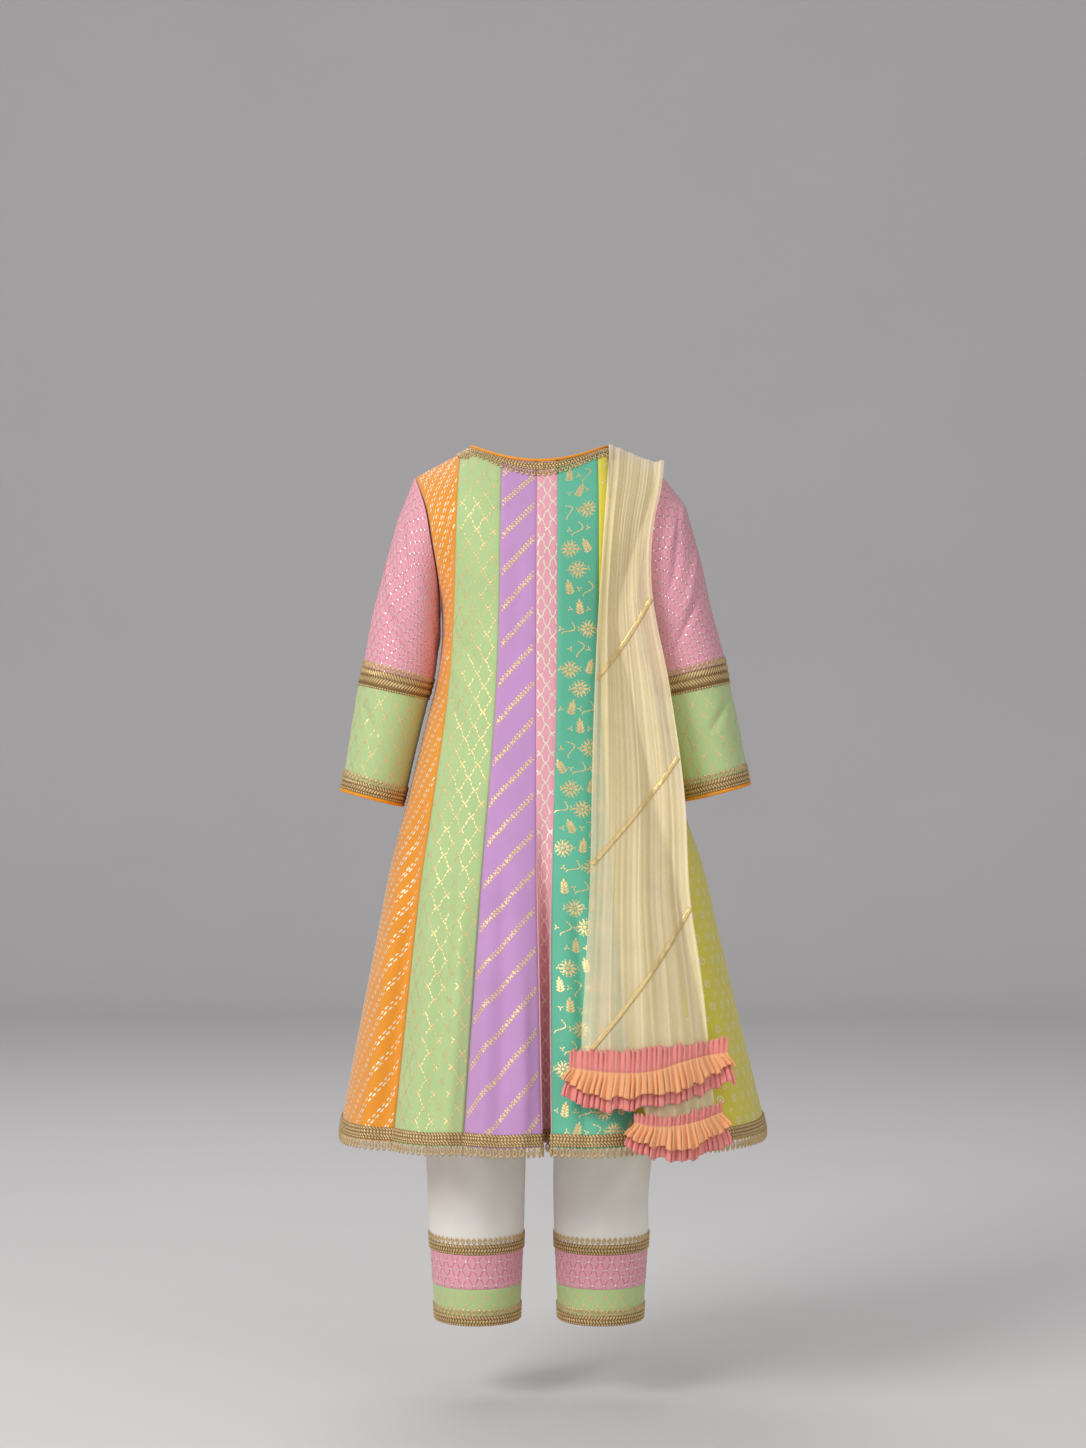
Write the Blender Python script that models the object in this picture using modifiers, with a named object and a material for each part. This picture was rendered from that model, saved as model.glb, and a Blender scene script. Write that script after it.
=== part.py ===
"""Anarkali set: a flared, panelled kurta, banded trousers and a net dupatta.

Metres, +Z up. The set is worn facing -Y, so its back faces +Y and the wearer's
left side lies at +X. Z = 0 is the kurta's side neck point, where it is held.
"""
import bpy
import bmesh
import numpy as np
from mathutils import Vector
from mathutils.bvhtree import BVHTree

# Cloth
WALL = 0.0014
NET_WALL = 0.0012
RUFFLE_WALL = 0.0010
LACE_WALL = 0.0009
SEAM = 0.0003
BACK = 1
FRONT = -1

# Neck and shoulders
NECK_HALF = 0.0725
NECK_DROP = {BACK: 0.018, FRONT: 0.055}
NECK_DEPTH = {BACK: 0.052, FRONT: 0.056}
SHOULDER_HALF = 0.129
SHOULDER_FALL = 0.0305
YOKE_ROUNDING = 0.085
NECK_FULLNESS = 1.0
SHOULDER_FULLNESS = 0.68
UNDERARM = -0.169
HEM = -0.708
SECTION_POWER = 2.3

# The kurta's cross-sections, seen from above
SECTION_COLUMNS = ("z", "half_left", "half_right", "back", "front")
SECTIONS = (
    (-0.030, 0.1500, 0.1500, 0.080, 0.075),
    (-0.100, 0.1250, 0.1250, 0.088, 0.083),
    (-0.169, 0.1020, 0.1020, 0.090, 0.090),
    (-0.200, 0.1012, 0.1020, 0.091, 0.092),
    (-0.240, 0.1058, 0.1140, 0.094, 0.096),
    (-0.290, 0.1180, 0.1270, 0.099, 0.101),
    (-0.335, 0.1290, 0.1390, 0.105, 0.106),
    (-0.385, 0.1415, 0.1530, 0.113, 0.113),
    (-0.430, 0.1530, 0.1690, 0.124, 0.121),
    (-0.500, 0.1666, 0.1860, 0.140, 0.135),
    (-0.600, 0.1858, 0.2100, 0.165, 0.157),
    (-0.708, 0.2065, 0.2364, 0.188, 0.178),
)
ARMHOLE_COLUMNS = ("z", "half")
ARMHOLE = (
    (-0.0305, 0.1290),
    (-0.0620, 0.1176),
    (-0.1030, 0.1100),
    (-0.1355, 0.1050),
    (-0.1690, 0.1020),
)

# Seams between the panels: x at each height, +X to -X
SEAM_COLUMNS = ("z", "orange_green", "green_purple", "purple_pink", "pink_teal", "teal_yellow")
SEAMS = (
    (0.000, 0.0820, 0.0380, 0.0020, -0.0194, -0.0610),
    (-0.264, 0.0948, 0.0442, 0.0030, -0.0183, -0.0640),
    (-0.466, 0.1240, 0.0602, 0.0020, -0.0130, -0.0763),
    (-0.708, 0.1496, 0.0767, -0.0040, -0.0120, -0.1000),
)

# Where each panel's columns lie across it, from its +X seam to its -X seam
PANELS = {
    "orange": (0.0, 0.22, 0.45, 0.70, 1.0),
    "green": (0.0, 0.216, 0.48, 0.74, 1.0),
    "purple": (0.0, 0.25, 0.5, 0.75, 1.0),
    "pink": (0.0, 0.167, 0.333, 0.5, 0.667, 0.833, 1.0),
    "teal": (0.0, 0.33, 0.67, 1.0),
    "yellow": (0.0, 0.17, 0.38, 0.60, 0.80, 1.0),
}

# Rows from the top edge to the underarm as shares, and below it as heights
YOKE_ROWS = (0.0, 0.05, 0.13, 0.26, 0.45, 0.65, 0.84, 1.0)
SKIRT_ROWS = (-0.200, -0.240, -0.290, -0.335, -0.385, -0.440, -0.500, -0.560, -0.630, HEM)

# Each panel bulges between its seams, more toward the hem
FLUTE_COLUMNS = ("z", "flute", "fold")
FLUTES = (
    (-0.335, 0.000, 0.000),
    (-0.385, 0.003, 0.002),
    (-0.440, 0.005, 0.009),
    (-0.500, 0.008, 0.017),
    (-0.560, 0.010, 0.024),
    (-0.708, 0.012, 0.036),
)
SEAM_VALLEY = 0.35

# Half section of the pink panel's inward fold at the hem, from its mouth to its end
FOLD_COLUMNS = ("depth", "half")
FOLD_SHAPE = (
    (0.00, 0.0040),
    (0.50, 0.0070),
    (0.92, 0.0060),
    (1.00, 0.0000),
)

# Laces and piping
PIPING_RADIUS = 0.0017
HOOK_RADIUS = 0.0022
DROP_PITCH = 0.0066
NECK_DROPS = 64
NECK_DROP_LENGTH = 0.008
NECK_LACE = (0.0018, 0.0108, 0.0190)
NECK_LACE_LIFT = 0.0021
NECK_POINTS = 36
NECK_REACH = 0.06
NECK_STEPS = 121
NECK_SPREAD = 0.7
OUTWARD_RISE = 0.15
PIPING_STAND = 0.0027
HEM_LACE_TOP = -0.694
HEM_DROP_LENGTH = 0.011

# Sleeve rings: outer and inner point of each ring, and its half depth
RING_COLUMNS = ("outer_x", "outer_z", "inner_x", "inner_z", "half_depth")
SLEEVE_RINGS = {
    "left": (
        (0.1480, -0.0746, 0.1042, -0.1820, 0.052),
        (0.1638, -0.1334, 0.1042, -0.2000, 0.050),
        (0.1753, -0.1786, 0.1078, -0.2240, 0.047),
        (0.1835, -0.2240, 0.1110, -0.2430, 0.046),
        (0.1860, -0.2350, 0.1135, -0.2520, 0.0455),
        (0.1885, -0.2457, 0.1160, -0.2615, 0.045),
        (0.1960, -0.2900, 0.1270, -0.3050, 0.045),
        (0.2032, -0.3350, 0.1382, -0.3540, 0.044),
        (0.2069, -0.3550, 0.1422, -0.3718, 0.0435),
    ),
    "right": (
        (0.1530, -0.0600, 0.1045, -0.1820, 0.052),
        (0.1690, -0.1180, 0.1070, -0.2000, 0.050),
        (0.1810, -0.1720, 0.1135, -0.2230, 0.047),
        (0.1945, -0.2215, 0.1205, -0.2400, 0.046),
        (0.1967, -0.2330, 0.1230, -0.2500, 0.0455),
        (0.1990, -0.2440, 0.1258, -0.2600, 0.045),
        (0.2080, -0.2850, 0.1362, -0.3020, 0.045),
        (0.2165, -0.3300, 0.1475, -0.3480, 0.044),
        (0.2205, -0.3490, 0.1520, -0.3665, 0.0435),
    ),
}
SLEEVE_SIDES = {"left": 1, "right": -1}
SLEEVE_COLUMNS = 14
SLEEVE_START = (0.0010, 0.0019)
ELBOW_LACE_FIRST = 3
ELBOW_SEAM = 4
ELBOW_LACE_LAST = 5
CUFF_LACE_FIRST = 7

# Trousers: closed leg rings below the crotch, hip sections above it
LEG_COLUMNS = ("z", "centre", "half_width", "half_depth")
LEGS = (
    (-0.9110, 0.0645, 0.0440, 0.0500),
    (-0.8200, 0.0655, 0.0490, 0.0545),
    (-0.7000, 0.0665, 0.0530, 0.0620),
    (-0.5500, 0.0665, 0.0590, 0.0720),
    (-0.4300, 0.0660, 0.0645, 0.0840),
    (-0.3300, 0.0660, 0.0645, 0.0900),
)
HIP_COLUMNS = ("z", "half_width", "back", "front", "joined")
HIPS = (
    (-0.4300, 0.1305, 0.0950, 0.0900, 0.00),
    (-0.4050, 0.1290, 0.1000, 0.0920, 0.45),
    (-0.3800, 0.1260, 0.1030, 0.0930, 0.80),
    (-0.3300, 0.1170, 0.1021, 0.0920, 1.00),
    (-0.2900, 0.1090, 0.0930, 0.0880, 1.00),
    (-0.2620, 0.1030, 0.0850, 0.0840, 1.00),
)
CROTCH = -0.430
WAIST = -0.262
WAISTBAND_TOP = -0.238
WAISTBAND_WALL = 0.0024
LEG_SPAN = 14
LEG_CLEAR = 0.0010
LEG_LEVELS = (-0.790, -0.700, -0.620, -0.550, -0.475)
HIP_LEVELS = (-0.4300, -0.4050, -0.3800, -0.3300, -0.2900, -0.2620)
LEG_LACE = (-0.8180, -0.8370)
PINK_BAND = (-0.8365, -0.8733)
GREEN_BAND = (-0.8733, -0.9110)
LEG_HEM_LACE = (-0.8965, -0.9116)

# Dupatta over the right shoulder: inner and outer edge at each drop below the shoulder
DRAPE_COLUMNS = ("drop", "inner", "outer")
DRAPE = (
    (0.000, 0.0735, 0.1310),
    (0.035, 0.0700, 0.1270),
    (0.070, 0.0665, 0.1205),
    (0.145, 0.0622, 0.1166),
    (0.252, 0.0581, 0.1334),
    (0.369, 0.0526, 0.1505),
    (0.472, 0.0497, 0.1553),
    (0.539, 0.0470, 0.1632),
    (0.611, 0.0432, 0.1700),
    (0.690, 0.0432, 0.1780),
)
DRAPE_DROPS = (0.0, 0.012, 0.035, 0.070, 0.105, 0.145, 0.200, 0.240, 0.290, 0.335, 0.385,
               0.440, 0.500, 0.560, 0.590, 0.615)
DRAPE_END = {BACK: (0.640, 0.688), FRONT: (0.640, 0.640)}
DRAPE_PLEATS = 7
DRAPE_REACH = 0.80
DRAPE_FADE = 0.12
DRAPE_END_STEP = (0.38, 0.12)
DRAPE_CLEAR = 0.0051
SHOULDER_PILE = 0.0075
PLEAT_COLUMNS = ("drop", "relief")
PLEATS = (
    (0.000, 0.0025),
    (0.145, 0.0050),
    (0.472, 0.0070),
    (0.539, 0.0060),
    (0.590, 0.0020),
    (0.615, 0.0010),
)

# Ruffle tiers: x range, waves, and heights of the four edges across the tier
TIER_COLUMNS = ("across", "heading", "gather", "peach_end", "pink_end")
TIERS = {
    "back_upper": {
        "side": BACK, "x": (0.030, 0.190), "flare": 0.008, "waves": 27,
        "rows": (
            (0.00, -0.6120, -0.6270, -0.6405, -0.6570),
            (0.25, -0.6125, -0.6325, -0.6560, -0.6690),
            (0.50, -0.6120, -0.6330, -0.6570, -0.6690),
            (0.75, -0.6090, -0.6240, -0.6490, -0.6610),
            (1.00, -0.6050, -0.6185, -0.6300, -0.6480),
        ),
    },
    "back_lower": {
        "side": BACK, "x": (0.094, 0.184), "flare": 0.010, "waves": 19,
        "rows": (
            (0.00, -0.6725, -0.6810, -0.6925, -0.7035),
            (0.25, -0.6780, -0.6860, -0.7040, -0.7160),
            (0.50, -0.6780, -0.6862, -0.7100, -0.7214),
            (0.75, -0.6735, -0.6830, -0.7050, -0.7180),
            (1.00, -0.6680, -0.6770, -0.6885, -0.7080),
        ),
    },
    "front": {
        "side": FRONT, "x": (0.034, 0.188), "flare": 0.008, "waves": 20,
        "rows": (
            (0.00, -0.6120, -0.6270, -0.6450, -0.6600),
            (0.50, -0.6120, -0.6300, -0.6560, -0.6690),
            (1.00, -0.6080, -0.6230, -0.6400, -0.6560),
        ),
    },
}
RUFFLE_CLEAR = 0.0050
RUFFLE_STEP = 0.0053
RUFFLE_WAVE = {"heading": 0.0018, "gather": 0.0006, "end": 0.0026}

# Finishes: colour, roughness, metallic
FINISHES = {
    "orange cotton": ((0.90, 0.52, 0.03), 0.75, 0.0),
    "green cotton": ((0.66, 0.74, 0.50), 0.75, 0.0),
    "purple cotton": ((0.72, 0.52, 0.70), 0.75, 0.0),
    "pink cotton": ((0.88, 0.58, 0.62), 0.75, 0.0),
    "teal brocade": ((0.38, 0.70, 0.58), 0.6, 0.0),
    "yellow cotton": ((0.82, 0.72, 0.18), 0.75, 0.0),
    "gold lace": ((0.72, 0.60, 0.42), 0.4, 0.6),
    "white cotton": ((0.92, 0.88, 0.84), 0.8, 0.0),
    "cream net": ((0.90, 0.78, 0.64), 0.8, 0.0),
    "pink net": ((0.94, 0.60, 0.56), 0.8, 0.0),
    "peach net": ((0.95, 0.70, 0.48), 0.8, 0.0),
}


def clear_scene():
    """Remove everything that the scene starts with."""
    for item in list(bpy.data.objects):
        bpy.data.objects.remove(item, do_unlink=True)


def new_collection(name):
    """A collection of that name in the scene."""
    group = bpy.data.collections.new(name)
    bpy.context.scene.collection.children.link(group)
    return group


def finish(name):
    """The Principled material of a finish."""
    if name in bpy.data.materials:
        return bpy.data.materials[name]
    colour, roughness, metallic = FINISHES[name]
    material = bpy.data.materials.new(name)
    material.use_nodes = True
    shader = material.node_tree.nodes["Principled BSDF"]
    shader.inputs["Base Color"].default_value = (*colour, 1.0)
    shader.inputs["Roughness"].default_value = roughness
    shader.inputs["Metallic"].default_value = metallic
    return material


def add_mesh(group, name, points, faces, finish_name):
    """A mesh object with its faces turned outward and shaded smooth."""
    mesh = bpy.data.meshes.new(name)
    mesh.from_pydata(np.asarray(points, dtype=float).tolist(), [], faces)
    edit = bmesh.new()
    edit.from_mesh(mesh)
    bmesh.ops.recalc_face_normals(edit, faces=edit.faces)
    edit.to_mesh(mesh)
    edit.free()
    mesh.shade_smooth()
    mesh.materials.append(finish(finish_name))
    item = bpy.data.objects.new(name, mesh)
    group.objects.link(item)
    return item


def thicken(item, thickness):
    """Give an open surface its wall, half to each side."""
    wall = item.modifiers.new("Wall", "SOLIDIFY")
    wall.thickness = thickness
    wall.offset = 0.0
    wall.use_even_offset = False


def read(table, columns, name, where):
    """Value of a named column at a place in the table's first column, straight between rows."""
    rows = np.array(table)
    order = np.argsort(rows[:, 0])
    return np.interp(where, rows[order, 0], rows[order, columns.index(name)])


def smooth_step(share):
    """Ease from 0 to 1 with level ends."""
    share = np.clip(share, 0.0, 1.0)
    return share * share * (3.0 - 2.0 * share)


def unit(vectors):
    """Vectors of length 1."""
    return vectors / np.maximum(np.linalg.norm(vectors, axis=-1, keepdims=True), 1e-12)


def top_edge(x, side):
    """Depth and height of the top edge: the neckline inside the neck points, the shoulder beyond."""
    inside = np.clip(1.0 - (x / NECK_HALF) ** 2, 0.0, None)
    beyond = np.clip((np.abs(x) - NECK_HALF) / (SHOULDER_HALF - NECK_HALF), 0.0, None)
    height = -NECK_DROP[side] * inside - SHOULDER_FALL * beyond
    return NECK_DEPTH[side] * np.sqrt(inside), height


def body_depth(x, z, side):
    """Distance of the kurta's surface from the mid-plane, a rounded box section closed over the shoulder."""
    left = read(SECTIONS, SECTION_COLUMNS, "half_left", z)
    right = read(SECTIONS, SECTION_COLUMNS, "half_right", z)
    half = np.where(x >= 0.0, left, right)
    deep = read(SECTIONS, SECTION_COLUMNS, "back" if side == BACK else "front", z)
    across = np.clip(np.abs(x) / half, 0.0, 1.0)
    full = deep * (1.0 - across ** SECTION_POWER) ** (1.0 / SECTION_POWER)
    edge, height = top_edge(x, side)
    below = np.clip((height - z) / YOKE_ROUNDING, 0.0, 1.0)
    blend = smooth_step(np.abs(x) / NECK_HALF)
    fullness = NECK_FULLNESS + (SHOULDER_FULLNESS - NECK_FULLNESS) * blend
    return edge + (full - edge) * (1.0 - (1.0 - below) ** 2) ** fullness


def side_half(z, name):
    """Half width of the kurta: the armhole seam above the underarm, the side seam below."""
    armhole = read(ARMHOLE, ARMHOLE_COLUMNS, "half", z)
    return np.where(z >= UNDERARM, armhole, read(SECTIONS, SECTION_COLUMNS, name, z))


def seam_x(index, z):
    """x of the seam with this index, counting from the +X side."""
    if index == 0:
        return side_half(z, "half_left")
    if index == len(PANELS):
        return -side_half(z, "half_right")
    return read(SEAMS, SEAM_COLUMNS, SEAM_COLUMNS[index], z)


def column_shares():
    """Panel index and share across it for every column of one half, seams once."""
    columns = [(0, 0.0)]
    for index, shares in enumerate(PANELS.values()):
        columns += [(index, share) for share in shares[1:]]
    return columns


def panel_span(index):
    """First and last column of a panel."""
    counts = [len(shares) - 1 for shares in PANELS.values()]
    return sum(counts[:index]), sum(counts[:index + 1])


def column_points(index, share, side):
    """Points down one column of the kurta's mid-surface."""
    top_x = (1.0 - share) * seam_x(index, 0.0) + share * seam_x(index + 1, 0.0)
    top_z = float(top_edge(np.array(top_x), side)[1])
    yoke = top_z + (UNDERARM - top_z) * np.array(YOKE_ROWS)
    z = np.concatenate([yoke, SKIRT_ROWS])
    near = seam_x(index, z)
    far = seam_x(index + 1, z)
    x = (1.0 - share) * near + share * far
    y = body_depth(x, z, side)
    flute = read(FLUTES, FLUTE_COLUMNS, "flute", z)
    if list(PANELS)[index] == "pink":
        fold = read(FLUTES, FLUTE_COLUMNS, "fold", z)
        amount = fold / FLUTES[-1][2]
        steps = len(FOLD_SHAPE) - 1
        place = steps - abs(share * 2.0 * steps - steps)
        depth, half = np.array([np.interp(place, range(steps + 1), part) for part in zip(*FOLD_SHAPE)])
        turn = np.sign(0.5 - share)
        x = (1.0 - amount) * x + amount * (0.5 * (near + far) + turn * half)
        y = y - SEAM_VALLEY * flute - fold * depth
        return np.stack([x, side * y, z], axis=-1)
    first, last = float(index > 0), float(index < len(PANELS) - 1)
    bulge = flute * (np.sin(np.pi * share) - SEAM_VALLEY * ((1.0 - share) * first + share * last))
    half = np.where(x >= 0.0, seam_x(0, z), -seam_x(len(PANELS), z))
    deep = read(SECTIONS, SECTION_COLUMNS, "back" if side == BACK else "front", z)
    lean = unit(np.stack([x / half ** 2, y / deep ** 2], axis=-1))
    return np.stack([x + bulge * lean[:, 0], side * (y + bulge * lean[:, 1]), z], axis=-1)


def kurta_half(side):
    """Mid-surface grid and shared normals of the back or front, rows by columns."""
    points = np.stack([column_points(index, share, side) for index, share in column_shares()], axis=1)
    across = unit(np.diff(points, axis=1))
    down = unit(np.diff(points, axis=0))
    along = unit(np.concatenate([across[:, :1], across[:, :-1] + across[:, 1:], across[:, -1:]], axis=1))
    fall = unit(np.concatenate([down[:1], down[:-1] + down[1:], down[-1:]], axis=0))
    normals = -side * unit(np.cross(along, fall))
    shoulder = np.abs(points[0, :, 0]) >= NECK_HALF - 1e-6
    normals[0, shoulder, 1] = 0.0
    skirt = len(YOKE_ROWS) - 1
    normals[skirt:, 0, 1] = 0.0
    normals[skirt:, -1, 1] = 0.0
    return points, unit(normals)


def grid_faces(rows, columns, wrap=False, start=0):
    """Quads of a grid of points, rows by columns, closed round the columns when wrapped."""
    faces = []
    last = columns if wrap else columns - 1
    for row in range(rows - 1):
        for column in range(last):
            here = start + row * columns + column
            right = start + row * columns + (column + 1) % columns
            faces.append((here, right, right + columns, here + columns))
    return faces


def border(rows, columns):
    """Indices round the edge of a grid, in order."""
    top = [column for column in range(columns)]
    right = [row * columns + columns - 1 for row in range(1, rows)]
    bottom = [(rows - 1) * columns + column for column in range(columns - 2, -1, -1)]
    left = [row * columns for row in range(rows - 2, 0, -1)]
    return top + right + bottom + left


def add_panel(group, name, outer, inner, finish_name):
    """A closed wall between an outer and an inner grid of points."""
    rows, columns = outer.shape[:2]
    count = rows * columns
    faces = grid_faces(rows, columns)
    faces += [tuple(reversed(face)) for face in grid_faces(rows, columns, start=count)]
    rim = border(rows, columns)
    faces += [(a, b, b + count, a + count) for a, b in zip(rim, rim[1:] + rim[:1])]
    points = np.concatenate([outer.reshape(-1, 3), inner.reshape(-1, 3)])
    return add_mesh(group, name, points, faces, finish_name)


def add_kurta_panels(group, halves):
    """Twelve panels, each drawn in from its seams by half the seam gap."""
    finishes = ("orange cotton", "green cotton", "purple cotton", "pink cotton", "teal brocade", "yellow cotton")
    skirt = len(YOKE_ROWS) - 1
    for side, label in ((BACK, "back"), (FRONT, "front")):
        points, normals = halves[side]
        for index, name in enumerate(PANELS):
            first, last = panel_span(index)
            middle = points[:, first:last + 1].copy()
            normal = normals[:, first:last + 1]
            inset = SEAM if name == "pink" else SEAM / 2.0
            shift_first = unit(middle[:, 1] - middle[:, 0]) * inset
            shift_last = unit(middle[:, -2] - middle[:, -1]) * inset
            shift_top = unit(middle[1] - middle[0]) * SEAM / 2.0
            middle[:, 0] += shift_first
            middle[:, -1] += shift_last
            middle[0] += shift_top
            if index == 0:
                middle[skirt:, 0, 1] = side * SEAM / 2.0
            if index == len(PANELS) - 1:
                middle[skirt:, -1, 1] = side * SEAM / 2.0
            outer = middle + normal * WALL / 2.0
            inner = middle - normal * WALL / 2.0
            add_panel(group, f"{label}_{name}", outer, inner, finishes[index])


def ring_of(halves, row):
    """Points and normals right round the kurta on one row, back then front."""
    back_points, back_normals = halves[BACK]
    front_points, front_normals = halves[FRONT]
    points = np.concatenate([back_points[row], front_points[row][::-1][1:-1]])
    normals = np.concatenate([back_normals[row], front_normals[row][::-1][1:-1]])
    return points, normals


def drop_places(points, pitch):
    """Fractional places round a closed ring, about a pitch apart, with one at each of its points."""
    lengths = np.linalg.norm(np.roll(points, -1, axis=0) - points, axis=1)
    counts = np.maximum(np.round(lengths / pitch), 1).astype(int)
    places = [start + np.arange(count) / count for start, count in enumerate(counts)]
    return np.concatenate(places)


def sample(ring, places):
    """Vectors at fractional places of a closed ring, straight between neighbours."""
    closed = np.concatenate([ring, ring[:1]])
    steps = np.arange(len(closed))
    return np.stack([np.interp(places, steps, closed[:, axis]) for axis in range(3)], axis=-1)


def add_drop_band(group, name, outer, inner, tips):
    """A closed band between an upper and a lower ring, whose lower edge runs out into drops."""
    count = len(tips)
    outer_top, outer_low, inner_low, inner_top = (ring * count for ring in range(4))
    faces = []
    for cell in range(count):
        after = (cell + 1) % count
        faces.append((outer_top + cell, outer_top + after, outer_low + after, outer_low + cell))
        faces.append((inner_low + cell, inner_low + after, inner_top + after, inner_top + cell))
        faces.append((inner_top + cell, inner_top + after, outer_top + after, outer_top + cell))
        root = (outer_low + cell, outer_low + after, inner_low + after, inner_low + cell)
        faces += [(a, b, 4 * count + cell) for a, b in zip(root, root[1:] + root[:1])]
    points = np.concatenate([outer[0], outer[1], inner[1], inner[0], tips])
    return add_mesh(group, name, points, faces, "gold lace")


def neck_ring(distance, count):
    """Points on the kurta round the neck, at a distance out from the neckline."""
    turns = np.arange(count) * 2.0 * np.pi / count
    x = (NECK_HALF + distance) * np.sin(turns)
    points = []
    for across, share in zip(x, np.cos(turns)):
        side = BACK if share >= 0.0 else FRONT
        depth = (NECK_DEPTH[side] + NECK_SPREAD * distance) * abs(share)
        edge, height = top_edge(np.array(across), side)
        z = height - np.linspace(0.0, NECK_REACH, NECK_STEPS)
        reach = body_depth(np.full(len(z), across), z, side)
        points.append((across, side * max(depth, float(edge)), np.interp(depth, reach, z)))
    return np.array(points)


def kurta_surface(halves):
    """Search tree over the outer faces of the kurta."""
    points, faces = [], []
    for half, normals in halves.values():
        outer = half + normals * WALL / 2.0
        rows, columns = outer.shape[:2]
        faces += grid_faces(rows, columns, start=sum(len(part) for part in points))
        points.append(outer.reshape(-1, 3))
    return BVHTree.FromPolygons(np.concatenate(points).tolist(), faces)


def lay_on(tree, points, lift):
    """Points brought to the kurta's outer faces and lifted off them."""
    laid = []
    for point in points:
        place, normal = tree.find_nearest(Vector(point))[:2]
        outward = normal if normal.dot(Vector((point[0], point[1], OUTWARD_RISE))) > 0.0 else -normal
        laid.append(tuple(place + outward * lift))
    return np.array(laid)


def add_neck_lace(group, halves):
    """Gold lace laid round the neck, its drops pointing away from the neck edge."""
    tree = kurta_surface(halves)
    rings = [neck_ring(distance, NECK_DROPS) for distance in NECK_LACE]
    inner = [lay_on(tree, ring, NECK_LACE_LIFT) for ring in rings[:2]]
    outer = [lay_on(tree, ring, NECK_LACE_LIFT + LACE_WALL) for ring in rings[:2]]
    ends = (rings[2] + np.roll(rings[2], -1, axis=0)) / 2.0
    tips = lay_on(tree, ends, NECK_LACE_LIFT + LACE_WALL)
    add_drop_band(group, "neck_lace", outer, inner, tips)


def add_tube(group, name, path, radius, finish_name):
    """A closed round tube along a ring of points."""
    curve = bpy.data.curves.new(name, "CURVE")
    curve.dimensions = "3D"
    curve.bevel_depth = radius
    curve.bevel_resolution = 1
    spline = curve.splines.new("POLY")
    spline.points.add(len(path) - 1)
    spline.points.foreach_set("co", np.column_stack([path, np.ones(len(path))]).ravel())
    spline.use_cyclic_u = True
    curve.materials.append(finish(finish_name))
    item = bpy.data.objects.new(name, curve)
    group.objects.link(item)
    return item


def add_neck_piping(group):
    """Orange piping that stands on the neck edge, leaning in toward the neck."""
    edge = neck_ring(0.0, NECK_POINTS)
    lean = unit(unit(edge * [-1.0, -1.0, 0.0]) + [0.0, 0.0, 1.0])
    add_tube(group, "neck_piping", edge + lean * PIPING_STAND, PIPING_RADIUS, "orange cotton")


def add_back_hook(group, halves):
    """The small hook that closes the back opening, on the lace at the purple and pink seam."""
    across = SEAMS[0][SEAM_COLUMNS.index("purple_pink")]
    middle = (NECK_LACE[0] + NECK_LACE[1]) / 2.0
    seat = neck_ring(middle, 4)[0] + [across, 0.0, 0.0]
    lift = NECK_LACE_LIFT + LACE_WALL + SEAM + HOOK_RADIUS
    place = lay_on(kurta_surface(halves), [seat], lift)[0]
    bpy.ops.mesh.primitive_ico_sphere_add(subdivisions=1, radius=HOOK_RADIUS, location=place)
    item = bpy.context.object
    item.name = "back_hook"
    item.data.materials.append(finish("gold lace"))
    for owner in list(item.users_collection):
        owner.objects.unlink(item)
    group.objects.link(item)


def add_hem_lace(group, halves):
    """Gold lace round the hem, outside the panels, with a row of hanging drops."""
    low, normals = ring_of(halves, -1)
    high = ring_of(halves, -2)[0]
    band = low + (high - low) * (HEM_LACE_TOP - HEM) / (SKIRT_ROWS[-2] - HEM)
    places = drop_places(low, DROP_PITCH)
    outward = sample(normals, places)
    rings = [sample(band, places), sample(low, places)]
    reach = WALL / 2.0 + SEAM
    inner = [ring + outward * reach for ring in rings]
    outer = [ring + outward * (reach + LACE_WALL) for ring in rings]
    roots = (inner[1] + outer[1]) / 2.0
    tips = (roots + np.roll(roots, -1, axis=0)) / 2.0 - [0.0, 0.0, HEM_DROP_LENGTH]
    add_drop_band(group, "hem_lace", outer, inner, tips)


def armhole_loop(side_sign):
    """Points round one armhole, from the shoulder down the back, under the arm and up the front."""
    turns = np.arange(SLEEVE_COLUMNS) * 2.0 * np.pi / SLEEVE_COLUMNS
    share = (1.0 - np.cos(turns)) / 2.0
    z = -SHOULDER_FALL + (UNDERARM + SHOULDER_FALL) * share
    x = side_sign * side_half(z, "half_left")
    back = body_depth(x, z, BACK)
    front = body_depth(x, z, FRONT)
    y = np.where(turns <= np.pi, back, -front)
    step = SLEEVE_START[0] + (SLEEVE_START[1] - SLEEVE_START[0]) * share
    return np.stack([x + side_sign * step, y, z], axis=-1)


def sleeve_ring(row, side_sign, grow=0.0):
    """An oval ring through its outer and inner point."""
    outer_x, outer_z, inner_x, inner_z, half_depth = row
    turns = np.arange(SLEEVE_COLUMNS)[:, None] * 2.0 * np.pi / SLEEVE_COLUMNS
    outer = np.array([side_sign * outer_x, 0.0, outer_z])
    inner = np.array([side_sign * inner_x, 0.0, inner_z])
    reach = (outer - inner) / 2.0
    reach = reach * (1.0 + grow / np.linalg.norm(reach))
    return (outer + inner) / 2.0 + np.cos(turns) * reach + np.sin(turns) * np.array([0.0, half_depth + grow, 0.0])


def add_open_tube(group, name, rings, thickness, finish_name):
    """An open tube through rings, with its wall."""
    points = np.concatenate(rings)
    item = add_mesh(group, name, points, grid_faces(len(rings), len(rings[0]), wrap=True), finish_name)
    thicken(item, thickness)
    return item


def nudge(ring, toward, distance):
    """A ring moved a small distance toward another ring."""
    return ring + unit(toward - ring) * distance


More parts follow.
